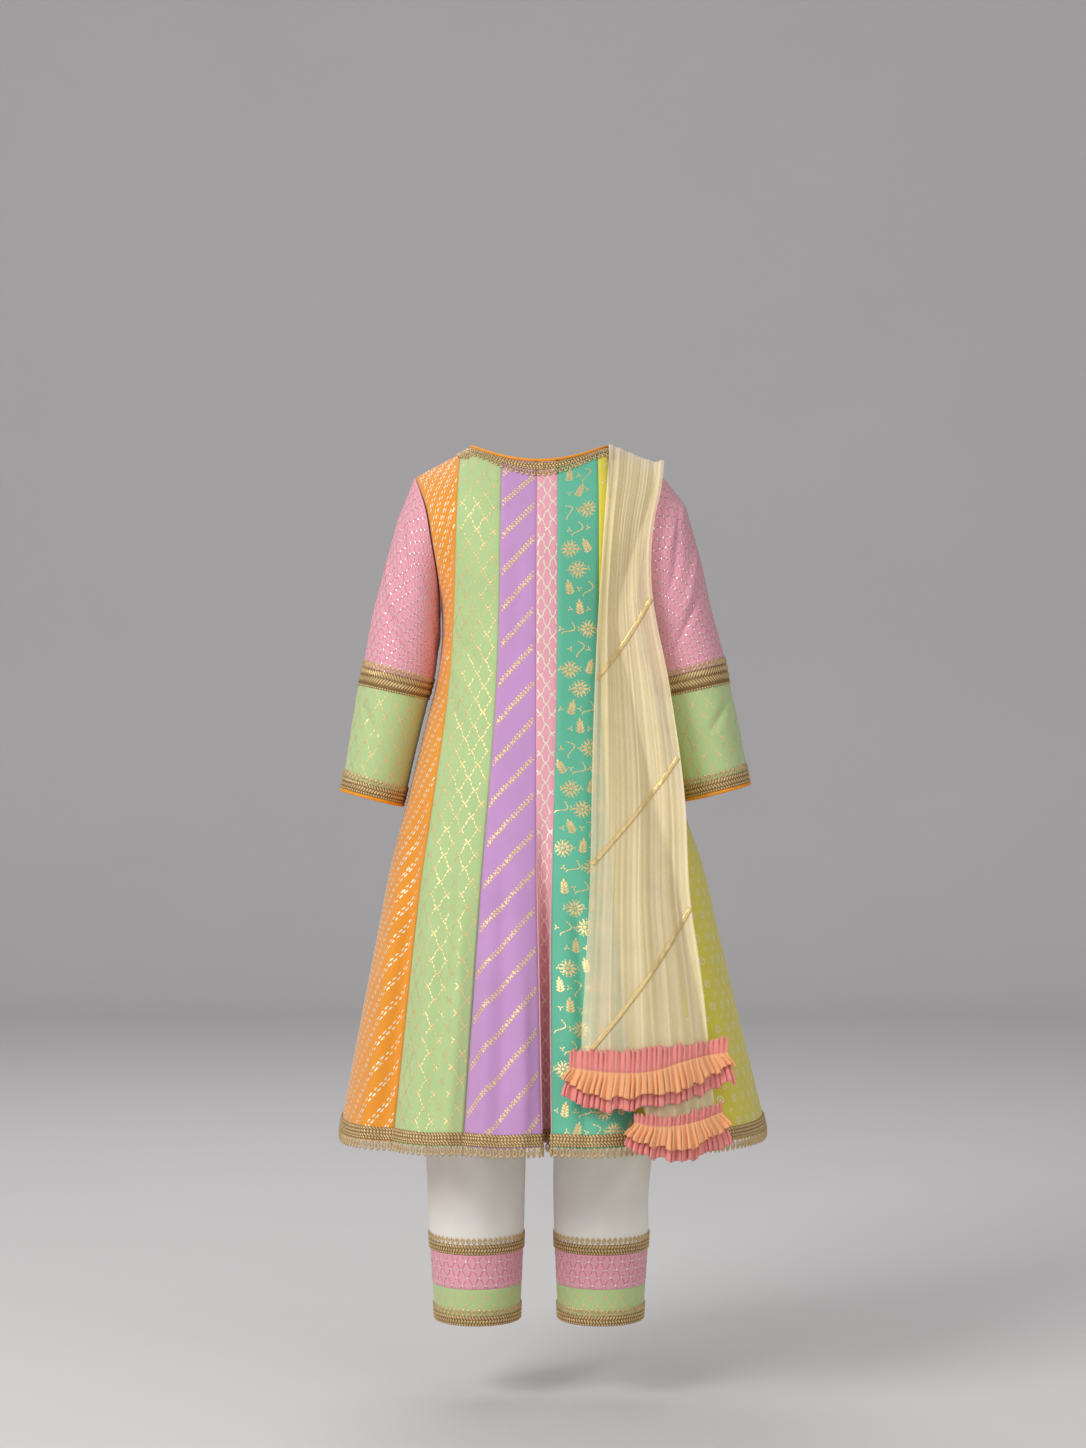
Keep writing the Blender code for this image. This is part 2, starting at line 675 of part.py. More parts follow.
def add_sleeve(group, label):
    """Pink upper sleeve, green lower sleeve, two laces and the cuff piping."""
    side_sign = SLEEVE_SIDES[label]
    rows = SLEEVE_RINGS[label]
    rings = [sleeve_ring(row, side_sign) for row in rows]
    seam = rings[ELBOW_SEAM]
    upper = [armhole_loop(side_sign)] + rings[:ELBOW_SEAM] + [nudge(seam, rings[ELBOW_SEAM - 1], SEAM / 2.0)]
    lower = [nudge(seam, rings[ELBOW_SEAM + 1], SEAM / 2.0)] + rings[ELBOW_SEAM + 1:]
    add_open_tube(group, f"{label}_sleeve_upper", upper, WALL, "pink cotton")
    add_open_tube(group, f"{label}_sleeve_lower", lower, WALL, "green cotton")
    grow = (WALL + LACE_WALL) / 2.0 + SEAM
    elbow = [sleeve_ring(row, side_sign, grow) for row in rows[ELBOW_LACE_FIRST:ELBOW_LACE_LAST + 1]]
    cuff = [sleeve_ring(row, side_sign, grow) for row in rows[CUFF_LACE_FIRST:]]
    add_open_tube(group, f"{label}_elbow_lace", elbow, LACE_WALL, "gold lace")
    add_open_tube(group, f"{label}_cuff_lace", cuff, LACE_WALL, "gold lace")
    away = unit(rings[-1] - rings[-2]) * (PIPING_RADIUS + SEAM)
    add_tube(group, f"{label}_cuff_piping", rings[-1] + away, PIPING_RADIUS, "orange cotton")


def leg_ring(z, grow=0.0):
    """Closed ring of the +X leg, starting at the inner thigh and passing the front first."""
    centre = read(LEGS, LEG_COLUMNS, "centre", z)
    half_width = read(LEGS, LEG_COLUMNS, "half_width", z) + grow
    half_depth = read(LEGS, LEG_COLUMNS, "half_depth", z) + grow
    turns = np.arange(LEG_SPAN + 1) * 2.0 * np.pi / LEG_SPAN
    x = centre - half_width * np.cos(turns)
    y = -half_depth * np.sin(turns)
    return np.stack([x, y, np.full(LEG_SPAN + 1, z)], axis=-1)


def hip_row(z):
    """Row of the +X half above the crotch: from a thigh ring to half of the hip section."""
    half_width = read(HIPS, HIP_COLUMNS, "half_width", z)
    back = read(HIPS, HIP_COLUMNS, "back", z)
    front = read(HIPS, HIP_COLUMNS, "front", z)
    joined = read(HIPS, HIP_COLUMNS, "joined", z)
    turns = np.linspace(-np.pi / 2.0, np.pi / 2.0, LEG_SPAN + 1)
    power = 2.0 / SECTION_POWER
    x = half_width * np.abs(np.cos(turns)) ** power
    y = np.sign(np.sin(turns)) * np.abs(np.sin(turns)) ** power
    y = y * np.where(turns > 0.0, back, front)
    whole = np.stack([x, y, np.full(LEG_SPAN + 1, z)], axis=-1)
    row = (1.0 - joined) * leg_ring(z) + joined * whole
    row[:, 0] = np.maximum(row[:, 0], LEG_CLEAR)
    return row


def add_leg(group, label):
    """White leg: a closed tube to the crotch, open at the centre seam above it."""
    side_sign = SLEEVE_SIDES[label]
    closed = [leg_ring(z) for z in (PINK_BAND[0] + SEAM,) + LEG_LEVELS + (CROTCH,)]
    opened = [hip_row(z) for z in HIP_LEVELS[1:-1] + (HIP_LEVELS[-1] - SEAM,)]
    rows = closed + opened
    points = np.concatenate(rows)
    points[:, 0] = np.maximum(points[:, 0], LEG_CLEAR) * side_sign
    columns = LEG_SPAN + 1
    index = np.arange(len(points)).reshape(len(rows), columns)
    index[:len(closed), -1] = index[:len(closed), 0]
    faces = []
    for low, high in zip(index[:-1], index[1:]):
        faces += list(zip(low[:-1].tolist(), low[1:].tolist(), high[1:].tolist(), high[:-1].tolist()))
    item = add_mesh(group, f"{label}_leg", points, faces, "white cotton")
    edit = bmesh.new()
    edit.from_mesh(item.data)
    loose = [vertex for vertex in edit.verts if not vertex.link_faces]
    bmesh.ops.delete(edit, geom=loose, context="VERTS")
    edit.to_mesh(item.data)
    edit.free()
    thicken(item, WALL)


def add_leg_ring(group, name, side_sign, heights, grow, thickness, finish_name):
    """A band or lace round one leg between two heights."""
    rings = []
    for z in heights:
        ring = leg_ring(z, grow)[:-1]
        ring[:, 0] *= side_sign
        rings.append(ring)
    add_open_tube(group, name, rings, thickness, finish_name)


def add_leg_trims(group, label):
    """Lace, pink band, green band and hem lace of one leg."""
    side_sign = SLEEVE_SIDES[label]
    outside = (WALL + LACE_WALL) / 2.0 + SEAM
    pink = (PINK_BAND[0] - SEAM / 2.0, PINK_BAND[1] + SEAM / 2.0)
    green = (GREEN_BAND[0] - SEAM / 2.0, GREEN_BAND[1])
    add_leg_ring(group, f"{label}_leg_lace", side_sign, LEG_LACE, outside, LACE_WALL, "gold lace")
    add_leg_ring(group, f"{label}_leg_pink_band", side_sign, pink, 0.0, WALL, "pink cotton")
    add_leg_ring(group, f"{label}_leg_green_band", side_sign, green, 0.0, WALL, "green cotton")
    add_leg_ring(group, f"{label}_leg_hem_lace", side_sign, LEG_HEM_LACE, outside, LACE_WALL, "gold lace")


def add_waistband(group):
    """Elastic waistband that closes both legs at the waist."""
    rings = []
    for z in (WAIST, WAISTBAND_TOP):
        half = hip_row(WAIST)
        ring = np.concatenate([half, (half * [-1.0, 1.0, 1.0])[::-1]])
        ring[:, 2] = z
        rings.append(ring)
    add_open_tube(group, "waistband", rings, WAISTBAND_WALL, "white cotton")


def drape_point(x, drop, side, lift):
    """Point over the right shoulder at a drop below it, lifted off the kurta."""
    half = read(SECTIONS, SECTION_COLUMNS, "half_right", -drop)
    seat = np.minimum(x, DRAPE_REACH * half)
    fade = np.clip(1.0 - drop / DRAPE_FADE, 0.0, 1.0)
    z = top_edge(seat, side)[1] * fade - drop
    z = np.minimum(z, top_edge(seat, side)[1])
    y = body_depth(-seat, z, side)
    steep = 1.0 - np.clip(drop / YOKE_ROUNDING, 0.0, 1.0)
    pile = SHOULDER_PILE * steep * np.clip((x - NECK_HALF) / (SHOULDER_HALF - NECK_HALF), 0.0, 1.2)
    flute = read(FLUTES, FLUTE_COLUMNS, "flute", z)
    height = lift + pile + flute
    out = np.sqrt(1.0 - steep ** 2)
    return np.stack([-x, side * (y + height * out), z + height * steep], axis=-1)


def add_dupatta(group):
    """The pleated net, from its back end over the shoulder to its front end."""
    columns = 2 * DRAPE_PLEATS + 1
    across = np.linspace(0.0, 1.0, columns)
    ridge = 0.5 - 0.5 * np.cos(2.0 * np.pi * DRAPE_PLEATS * across)
    rows = []
    for side in (BACK, FRONT):
        half = []
        for drop in DRAPE_DROPS:
            half.append(np.full(columns, drop))
        inner_end, outer_end = DRAPE_END[side]
        step_start, step_width = DRAPE_END_STEP
        last = inner_end + (outer_end - inner_end) * smooth_step((across - step_start) / step_width)
        half.append(last)
        line = []
        for drop in half:
            inner = read(DRAPE, DRAPE_COLUMNS, "inner", drop)
            outer = read(DRAPE, DRAPE_COLUMNS, "outer", drop)
            x = inner + (outer - inner) * across
            relief = read(PLEATS, PLEAT_COLUMNS, "relief", drop)
            line.append(drape_point(x, drop, side, DRAPE_CLEAR + relief * ridge))
        rows.append(line)
    strip = rows[0][::-1] + rows[1][1:]
    points = np.concatenate(strip)
    item = add_mesh(group, "dupatta", points, grid_faces(len(strip), columns), "cream net")
    thicken(item, NET_WALL)


def tier_edge(tier, edge, across, extra):
    """One edge of a ruffle across its tier, with its waves."""
    inner, outer = tier["x"]
    flare = tier["flare"] if edge.endswith("end") else 0.0
    x = (inner - flare) + (outer - inner + 2.0 * flare) * across
    z = read(tier["rows"], TIER_COLUMNS, edge, across)
    wave = RUFFLE_WAVE["end"] if edge.endswith("end") else RUFFLE_WAVE[edge]
    beat = np.cos(np.pi * np.arange(len(across)))
    lift = DRAPE_CLEAR + RUFFLE_CLEAR + extra + wave * beat
    return drape_point(x, -z, tier["side"], lift)


def add_ruffle_tier(group, name):
    """Pink ruffle with its heading, and the shorter peach ruffle on it."""
    tier = TIERS[name]
    across = np.linspace(0.0, 1.0, 2 * tier["waves"] + 1)
    layers = {
        "pink": (("heading", 0.0), ("gather", 0.0), ("pink_end", 0.0)),
        "peach": (("gather", RUFFLE_STEP), ("peach_end", RUFFLE_STEP)),
    }
    for colour, edges in layers.items():
        rows = [tier_edge(tier, edge, across, extra) for edge, extra in edges]
        points = np.concatenate(rows)
        item = add_mesh(group, f"{name}_ruffle_{colour}", points, grid_faces(len(rows), len(across)),
                        f"{colour} net")
        thicken(item, RUFFLE_WALL)


def main():
    """Build the whole set."""
    clear_scene()
    group = new_collection("Anarkali set")
    halves = {side: kurta_half(side) for side in (BACK, FRONT)}
    add_kurta_panels(group, halves)
    add_neck_piping(group)
    add_neck_lace(group, halves)
    add_back_hook(group, halves)
    add_hem_lace(group, halves)
    for label in SLEEVE_SIDES:
        add_sleeve(group, label)
        add_leg(group, label)
        add_leg_trims(group, label)
    add_waistband(group)
    add_dupatta(group)
    for name in TIERS:
        add_ruffle_tier(group, name)


main()
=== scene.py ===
"""Anarkali set: a flared panelled kurta, banded trousers and a net dupatta.

Metres, +Z up. The set's back faces +Y and its wearer's left lies at +X.
Cloth is worked out as grids of points, rows by columns. Trims and motifs are
laid on those grids by their distance across and down the cloth.
"""

import bpy
import numpy as np
from bpy.props import FloatProperty, FloatVectorProperty, IntProperty, PointerProperty
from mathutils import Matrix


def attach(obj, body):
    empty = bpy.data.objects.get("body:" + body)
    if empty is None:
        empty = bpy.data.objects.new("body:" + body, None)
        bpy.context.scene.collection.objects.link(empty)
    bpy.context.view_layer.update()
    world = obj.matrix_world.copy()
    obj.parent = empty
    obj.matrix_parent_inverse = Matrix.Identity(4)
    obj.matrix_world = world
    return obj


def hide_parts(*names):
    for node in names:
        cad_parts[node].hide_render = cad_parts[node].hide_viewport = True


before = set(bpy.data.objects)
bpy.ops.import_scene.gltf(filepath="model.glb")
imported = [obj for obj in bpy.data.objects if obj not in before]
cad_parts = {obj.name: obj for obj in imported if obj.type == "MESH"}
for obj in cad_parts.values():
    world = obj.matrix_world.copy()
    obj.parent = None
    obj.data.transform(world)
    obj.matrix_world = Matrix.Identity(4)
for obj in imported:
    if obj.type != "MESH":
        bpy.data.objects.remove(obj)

bl_info = {
    "name": "Anarkali set",
    "version": (1, 0, 0),
    "blender": (4, 5, 0),
    "location": "View3D > Sidebar > Anarkali",
    "description": "Builds a panelled kurta with trousers and a net dupatta",
    "category": "Add Mesh",
}

BACK = 1
FRONT = -1
SIDES = {"back": BACK, "front": FRONT}
ARMS = {"left": 1, "right": -1}

# Neck and shoulders
NECK_HALF = 0.0725
NECK_DROP = {BACK: 0.018, FRONT: 0.055}
NECK_DEPTH = {BACK: 0.052, FRONT: 0.056}
SHOULDER_HALF = 0.129
SHOULDER_FALL = 0.0305
YOKE_ROUNDING = 0.085
NECK_FULLNESS = 1.0
SHOULDER_FULLNESS = 0.68
UNDERARM = -0.169
HEM = -0.708
SECTION_POWER = 2.3

# The kurta's cross-sections, seen from above
SECTION_COLUMNS = ("z", "half_left", "half_right", "back", "front")
SECTIONS = (
    (-0.030, 0.1500, 0.1500, 0.080, 0.075),
    (-0.100, 0.1250, 0.1250, 0.088, 0.083),
    (-0.169, 0.1020, 0.1020, 0.090, 0.090),
    (-0.200, 0.1012, 0.1020, 0.091, 0.092),
    (-0.240, 0.1058, 0.1140, 0.094, 0.096),
    (-0.290, 0.1180, 0.1270, 0.099, 0.101),
    (-0.335, 0.1290, 0.1390, 0.105, 0.106),
    (-0.385, 0.1415, 0.1530, 0.113, 0.113),
    (-0.430, 0.1530, 0.1690, 0.124, 0.121),
    (-0.500, 0.1666, 0.1860, 0.140, 0.135),
    (-0.600, 0.1858, 0.2100, 0.165, 0.157),
    (-0.708, 0.2065, 0.2364, 0.188, 0.178),
)
ARMHOLE_COLUMNS = ("z", "half")
ARMHOLE = (
    (-0.0305, 0.1290),
    (-0.0620, 0.1176),
    (-0.1030, 0.1100),
    (-0.1355, 0.1050),
    (-0.1690, 0.1020),
)

# Seams between the panels: x at each height, +X to -X
PANELS = ("orange", "green", "purple", "pink", "teal", "yellow")
SEAM_COLUMNS = ("z", "orange_green", "green_purple", "purple_pink", "pink_teal", "teal_yellow")
SEAMS = (
    (0.000, 0.0820, 0.0380, 0.0020, -0.0194, -0.0610),
    (-0.264, 0.0948, 0.0442, 0.0030, -0.0183, -0.0640),
    (-0.466, 0.1240, 0.0602, 0.0020, -0.0130, -0.0763),
    (-0.708, 0.1496, 0.0767, -0.0040, -0.0120, -0.1000),
)
FLUTE_COLUMNS = ("z", "flute", "fold")
FLUTES = (
    (-0.335, 0.000, 0.000),
    (-0.385, 0.003, 0.002),
    (-0.440, 0.005, 0.009),
    (-0.500, 0.008, 0.017),
    (-0.560, 0.010, 0.024),
    (-0.708, 0.012, 0.036),
)
SEAM_VALLEY = 0.35
FOLD_COLUMNS = ("place", "depth", "half")
FOLD_SHAPE = (
    (0.0, 0.00, 0.0040),
    (1.0, 0.50, 0.0070),
    (2.0, 0.92, 0.0060),
    (3.0, 1.00, 0.0000),
)
YOKE_GRID = 44
SKIRT_GRID = 88
PANEL_GRID = 28
SEAM_DIP = 0.0009
SEAM_WIDTH = 0.0022

# Soft folds in the kurta: from (x, z) to (x, z), half width and height, troughs below zero
CREASES = {
    BACK: (
        (0.1010, -0.188, 0.0560, -0.232, 0.0055, -0.0016),
        (0.1020, -0.214, 0.0620, -0.262, 0.0050, 0.0012),
        (0.1060, -0.246, 0.0700, -0.300, 0.0060, -0.0014),
        (-0.1000, -0.196, -0.0640, -0.226, 0.0050, -0.0014),
        (-0.1080, -0.238, -0.0720, -0.290, 0.0060, -0.0014),
        (0.1000, -0.060, 0.0880, -0.150, 0.0060, -0.0015),
        (-0.1000, -0.066, -0.0900, -0.146, 0.0060, -0.0014),
        (0.0600, -0.050, 0.0540, -0.190, 0.0090, 0.0010),
        (0.0200, -0.090, 0.0230, -0.230, 0.0080, -0.0009),
        (0.1180, -0.330, 0.1620, -0.760, 0.0090, -0.0046),
        (0.1330, -0.420, 0.1820, -0.760, 0.0080, 0.0030),
        (0.0850, -0.350, 0.1130, -0.760, 0.0100, -0.0042),
        (0.0730, -0.440, 0.0950, -0.760, 0.0070, 0.0026),
        (0.0350, -0.400, 0.0390, -0.760, 0.0090, -0.0036),
        (0.0500, -0.500, 0.0580, -0.760, 0.0060, 0.0022),
        (0.0150, -0.520, 0.0160, -0.760, 0.0060, 0.0020),
        (-0.0380, -0.430, -0.0480, -0.760, 0.0080, -0.0038),
        (-0.0900, -0.360, -0.1240, -0.760, 0.0100, -0.0044),
        (-0.1250, -0.400, -0.1640, -0.760, 0.0080, 0.0030),
        (-0.1500, -0.470, -0.1960, -0.760, 0.0080, -0.0040),
    ),
    FRONT: (
        (0.1000, -0.192, 0.0600, -0.240, 0.0060, -0.0016),
        (0.1030, -0.226, 0.0700, -0.268, 0.0050, 0.0011),
        (-0.1000, -0.186, -0.0580, -0.236, 0.0060, -0.0016),
        (-0.1060, -0.232, -0.0700, -0.284, 0.0050, -0.0012),
        (0.0980, -0.070, 0.0850, -0.150, 0.0060, -0.0015),
        (-0.0990, -0.064, -0.0870, -0.152, 0.0060, -0.0015),
        (0.0440, -0.130, 0.0400, -0.250, 0.0080, -0.0010),
        (-0.0420, -0.120, -0.0460, -0.230, 0.0090, 0.0010),
        (0.1240, -0.350, 0.1700, -0.760, 0.0090, -0.0044),
        (0.0950, -0.380, 0.1260, -0.760, 0.0090, 0.0028),
        (0.0780, -0.360, 0.1000, -0.760, 0.0090, -0.0040),
        (0.0300, -0.420, 0.0350, -0.760, 0.0100, -0.0038),
        (0.0480, -0.520, 0.0560, -0.760, 0.0060, 0.0022),
        (-0.0400, -0.400, -0.0520, -0.760, 0.0090, -0.0036),
        (-0.0830, -0.420, -0.1120, -0.760, 0.0080, 0.0026),
        (-0.1050, -0.370, -0.1420, -0.760, 0.0100, -0.0044),
        (-0.1480, -0.440, -0.1930, -0.760, 0.0080, -0.0040),
    ),
}

# Trims of the neck and hem
NECK_LACE_REACH = (0.0014, 0.0108)
NECK_STEPS = 121
NECK_REACH = 0.06
NECK_SPREAD = 0.7
PIPING_STAND = 0.0023
PIPING_RADIUS = 0.0018
HEM_LACE_HEIGHT = 0.0135
DROP_PITCH = 0.0066
HEM_DROP = 0.0120
NECK_DROP_PITCH = 0.0058

# Sleeve rings: outer and inner point of each ring, and its half depth
RING_COLUMNS = ("ring", "outer_x", "outer_z", "inner_x", "inner_z", "half_depth")
SLEEVE_RINGS = {
    "left": (
        (1.0, 0.1480, -0.0746, 0.1042, -0.1820, 0.0520),
        (2.0, 0.1638, -0.1334, 0.1042, -0.2000, 0.0500),
        (3.0, 0.1753, -0.1786, 0.1078, -0.2240, 0.0470),
        (4.0, 0.1835, -0.2240, 0.1110, -0.2430, 0.0460),
        (4.25, 0.1860, -0.2350, 0.1135, -0.2520, 0.0455),
        (4.5, 0.1885, -0.2457, 0.1160, -0.2615, 0.0450),
        (5.5, 0.1960, -0.2900, 0.1270, -0.3050, 0.0450),
        (6.5, 0.2032, -0.3350, 0.1382, -0.3540, 0.0440),
        (7.0, 0.2069, -0.3550, 0.1422, -0.3718, 0.0435),
    ),
    "right": (
        (1.0, 0.1530, -0.0600, 0.1045, -0.1820, 0.0520),
        (2.0, 0.1690, -0.1180, 0.1070, -0.2000, 0.0500),
        (3.0, 0.1810, -0.1720, 0.1135, -0.2230, 0.0470),
        (4.0, 0.1945, -0.2215, 0.1205, -0.2400, 0.0460),
        (4.25, 0.1967, -0.2330, 0.1230, -0.2500, 0.0455),
        (4.5, 0.1990, -0.2440, 0.1258, -0.2600, 0.0450),
        (5.5, 0.2080, -0.2850, 0.1362, -0.3020, 0.0450),
        (6.5, 0.2165, -0.3300, 0.1475, -0.3480, 0.0440),
        (7.0, 0.2205, -0.3490, 0.1520, -0.3665, 0.0435),
    ),
}
SLEEVE_START = (0.0010, 0.0019)
ELBOW = 4.25
ELBOW_LACE = (3.93, 4.55)
CUFF = 7.0
CUFF_LACE = (6.46, 7.0)
SLEEVE_COLUMNS = 72

# Soft folds round the sleeves: from (turn, ring) to (turn, ring), half width in turns and height
SLEEVE_CREASES = (
    (0.18, 0.60, 0.33, 1.70, 0.030, -0.0022),
    (0.30, 1.00, 0.44, 2.10, 0.026, 0.0018),
    (0.10, 1.60, 0.30, 2.70, 0.024, -0.0020),
    (0.24, 2.60, 0.46, 3.50, 0.026, -0.0024),
    (0.16, 3.10, 0.34, 3.80, 0.020, 0.0014),
    (0.30, 4.70, 0.46, 5.50, 0.024, -0.0018),
    (0.12, 5.00, 0.28, 6.10, 0.024, 0.0013),
    (0.60, 0.70, 0.76, 1.90, 0.030, -0.0022),
    (0.55, 1.60, 0.72, 2.60, 0.026, 0.0018),
    (0.62, 2.40, 0.84, 3.40, 0.026, -0.0024),
    (0.58, 4.80, 0.74, 5.70, 0.024, -0.0018),
    (0.90, 1.20, 0.98, 2.90, 0.030, -0.0014),
    (0.02, 2.20, 0.10, 3.60, 0.030, -0.0014),
)

# Trousers
LEG_COLUMNS = ("z", "centre", "half_width", "half_depth")
LEGS = (
    (-0.9110, 0.0645, 0.0440, 0.0500),
    (-0.8200, 0.0655, 0.0490, 0.0545),
    (-0.7000, 0.0665, 0.0530, 0.0620),
    (-0.5500, 0.0665, 0.0590, 0.0720),
    (-0.4300, 0.0660, 0.0645, 0.0840),
    (-0.3300, 0.0660, 0.0645, 0.0900),
)
HIP_COLUMNS = ("z", "half_width", "back", "front", "joined")
HIPS = (
    (-0.4300, 0.1305, 0.0950, 0.0900, 0.00),
    (-0.4050, 0.1290, 0.1000, 0.0920, 0.45),
    (-0.3800, 0.1260, 0.1030, 0.0930, 0.80),
    (-0.3300, 0.1170, 0.1021, 0.0920, 1.00),
    (-0.2900, 0.1090, 0.0930, 0.0880, 1.00),
    (-0.2620, 0.1030, 0.0850, 0.0840, 1.00),
)
CROTCH = -0.430
WAIST = -0.262
WAISTBAND_TOP = -0.238
LEG_GRID = 64
LEG_CLEAR = 0.0010
PINK_BAND = (-0.8365, -0.8733)
GREEN_BAND = (-0.8733, -0.9110)
LEG_LACE = (-0.8165, -0.8375)
LEG_HEM_LACE = (-0.8955, -0.9116)

# Soft folds round a leg: from (turn, z) to (turn, z), half width in turns and height
LEG_CREASES = (
    (0.10, -0.560, 0.34, -0.640, 0.035, -0.0030),
    (0.20, -0.620, 0.46, -0.700, 0.030, 0.0022),
    (0.05, -0.690, 0.28, -0.760, 0.030, -0.0026),
    (0.30, -0.720, 0.48, -0.790, 0.026, -0.0022),
    (0.55, -0.600, 0.80, -0.670, 0.035, -0.0030),
    (0.60, -0.690, 0.86, -0.750, 0.030, 0.0020),
    (0.64, -0.730, 0.90, -0.805, 0.026, -0.0028),
    (0.52, -0.745, 0.68, -0.800, 0.022, -0.0020),
    (0.76, -0.715, 0.95, -0.770, 0.024, -0.0022),
)

# Dupatta over the right shoulder: inner and outer edge at each drop below the shoulder
DRAPE_COLUMNS = ("drop", "inner", "outer")
DRAPE = (
    (0.000, 0.0735, 0.1310),
    (0.035, 0.0700, 0.1270),
    (0.070, 0.0665, 0.1205),
    (0.145, 0.0622, 0.1166),
    (0.252, 0.0581, 0.1334),
    (0.369, 0.0526, 0.1505),
    (0.472, 0.0497, 0.1553),
    (0.539, 0.0470, 0.1632),
    (0.611, 0.0432, 0.1700),
    (0.690, 0.0432, 0.1780),
)
DRAPE_END = {BACK: (0.640, 0.688), FRONT: (0.640, 0.640)}
DRAPE_END_STEP = (0.38, 0.12)
DRAPE_REACH = 0.80
DRAPE_FADE = 0.12
DRAPE_CLEAR = 0.0051
SHOULDER_PILE = 0.0075
PLEATS = (
    (0.000, 0.0030),
    (0.145, 0.0055),
    (0.472, 0.0075),
    (0.539, 0.0060),
    (0.590, 0.0020),
    (0.640, 0.0010),
)
DRAPE_GRID = 190

# Lines where the net doubles up: share across, half width and weight
FOLD_LINES = (
    (0.000, 0.012, 0.9),
    (0.055, 0.010, 0.5),
    (0.160, 0.030, 0.5),
    (0.235, 0.008, 0.8),
    (0.330, 0.012, 0.4),
    (0.430, 0.045, 0.5),
    (0.490, 0.008, 0.9),
    (0.560, 0.010, 0.5),
    (0.640, 0.040, 0.7),
    (0.700, 0.008, 0.8),
    (0.780, 0.020, 0.6),
    (0.850, 0.012, 0.8),
    (0.930, 0.030, 0.5),
    (1.000, 0.012, 1.0),
)

# Ribbons on the net: from (share across, drop) to (share across, drop), and a lift below zero if under it
RIBBONS = {
    BACK: (
        (0.96, 0.160, 0.02, 0.243),
        (0.97, 0.323, 0.02, 0.430),
        (0.99, 0.476, 0.04, 0.617),
        (0.54, 0.444, 0.95, 0.484, -0.0010),
    ),
    FRONT: (
        (0.02, 0.170, 0.96, 0.262),
        (0.03, 0.330, 0.97, 0.440),
        (0.04, 0.480, 0.96, 0.600),
    ),
}

# Ruffle tiers: x range, waves, and heights of the edges across the tier
TIER_COLUMNS = ("across", "heading", "gather", "peach_end", "pink_end")
TIERS = {
    "back_upper": {
        "side": BACK, "x": (0.030, 0.190), "flare": 0.008, "waves": 30, "split": 0.47,
        "rows": (
            (0.00, -0.6120, -0.6270, -0.6405, -0.6570),
            (0.25, -0.6125, -0.6325, -0.6560, -0.6690),
            (0.50, -0.6120, -0.6330, -0.6570, -0.6690),
            (0.75, -0.6090, -0.6240, -0.6490, -0.6610),
            (1.00, -0.6050, -0.6185, -0.6300, -0.6480),
        ),
    },
    "back_lower": {
        "side": BACK, "x": (0.094, 0.184), "flare": 0.010, "waves": 20, "split": 0.52,
        "rows": (
            (0.00, -0.6725, -0.6810, -0.6925, -0.7035),
            (0.25, -0.6780, -0.6860, -0.7040, -0.7160),
            (0.50, -0.6780, -0.6862, -0.7100, -0.7214),
            (0.75, -0.6735, -0.6830, -0.7050, -0.7180),
            (1.00, -0.6680, -0.6770, -0.6885, -0.7080),
        ),
    },
    "front": {
        "side": FRONT, "x": (0.034, 0.188), "flare": 0.008, "waves": 24, "split": 0.44,
        "rows": (
            (0.00, -0.6120, -0.6270, -0.6450, -0.6600),
            (0.50, -0.6120, -0.6300, -0.6560, -0.6690),
            (1.00, -0.6080, -0.6230, -0.6400, -0.6560),
        ),
    },
}
RUFFLE_CLEAR = 0.0050
RUFFLE_STEP = 0.0046

# Camera and floor
CAMERA_PLACE = (-0.0042, 3.2, -0.2888)
CAMERA_LENS = 75.77
FLOOR = -0.993
FLOOR_REACH = 14.0
# Behind the set, and farther off than a camera that circles it
BACKDROP = 5.2


def linear(value):
    """Linear colour of an sRGB hex value: c / 12.92 up to 0.04045, else ((c + 0.055) / 1.055) ^ 2.4."""
    parts = np.array([int(value[at:at + 2], 16) for at in (1, 3, 5)]) / 255.0
    return tuple(np.where(parts <= 0.04045, parts / 12.92, ((parts + 0.055) / 1.055) ** 2.4).tolist())


def length(name, description, value):
    """A length setting in metres."""
    return FloatProperty(name=name, description=description, default=value, min=0.0, soft_max=0.05,
                         precision=5, unit="LENGTH")


def swatch(name, description, value):
    """A colour setting from an sRGB hex value."""
    return FloatVectorProperty(name=name, description=description, default=linear(value), size=3,
                               min=0.0, max=1.0, subtype="COLOR")


class AnarkaliSizes(bpy.types.PropertyGroup):
    """Sizes of the cloth, trims and motifs."""
    cloth: length("Cotton", "Thickness of the cotton", 0.0011)
    net: length("Net", "Thickness of the net", 0.0003)
    crease: FloatProperty(name="Creases", description="Height of the creases against their table",
                          default=1.4, min=0.0, max=3.0)
    dash_long: length("Dash length", "Length of a gold dash", 0.0048)
    dash_wide: length("Dash width", "Width of a gold dash", 0.0019)
    bead: length("Bead", "Radius of a gold bead", 0.0013)
    ribbon: length("Ribbon", "Width of the ribbons on the net", 0.0046)
    ruffle_wave: length("Ruffle wave", "Height of a ruffle's waves at its free end", 0.0050)
    seed: IntProperty(name="Seed", description="Seed of the small uneven changes", default=7, min=0)


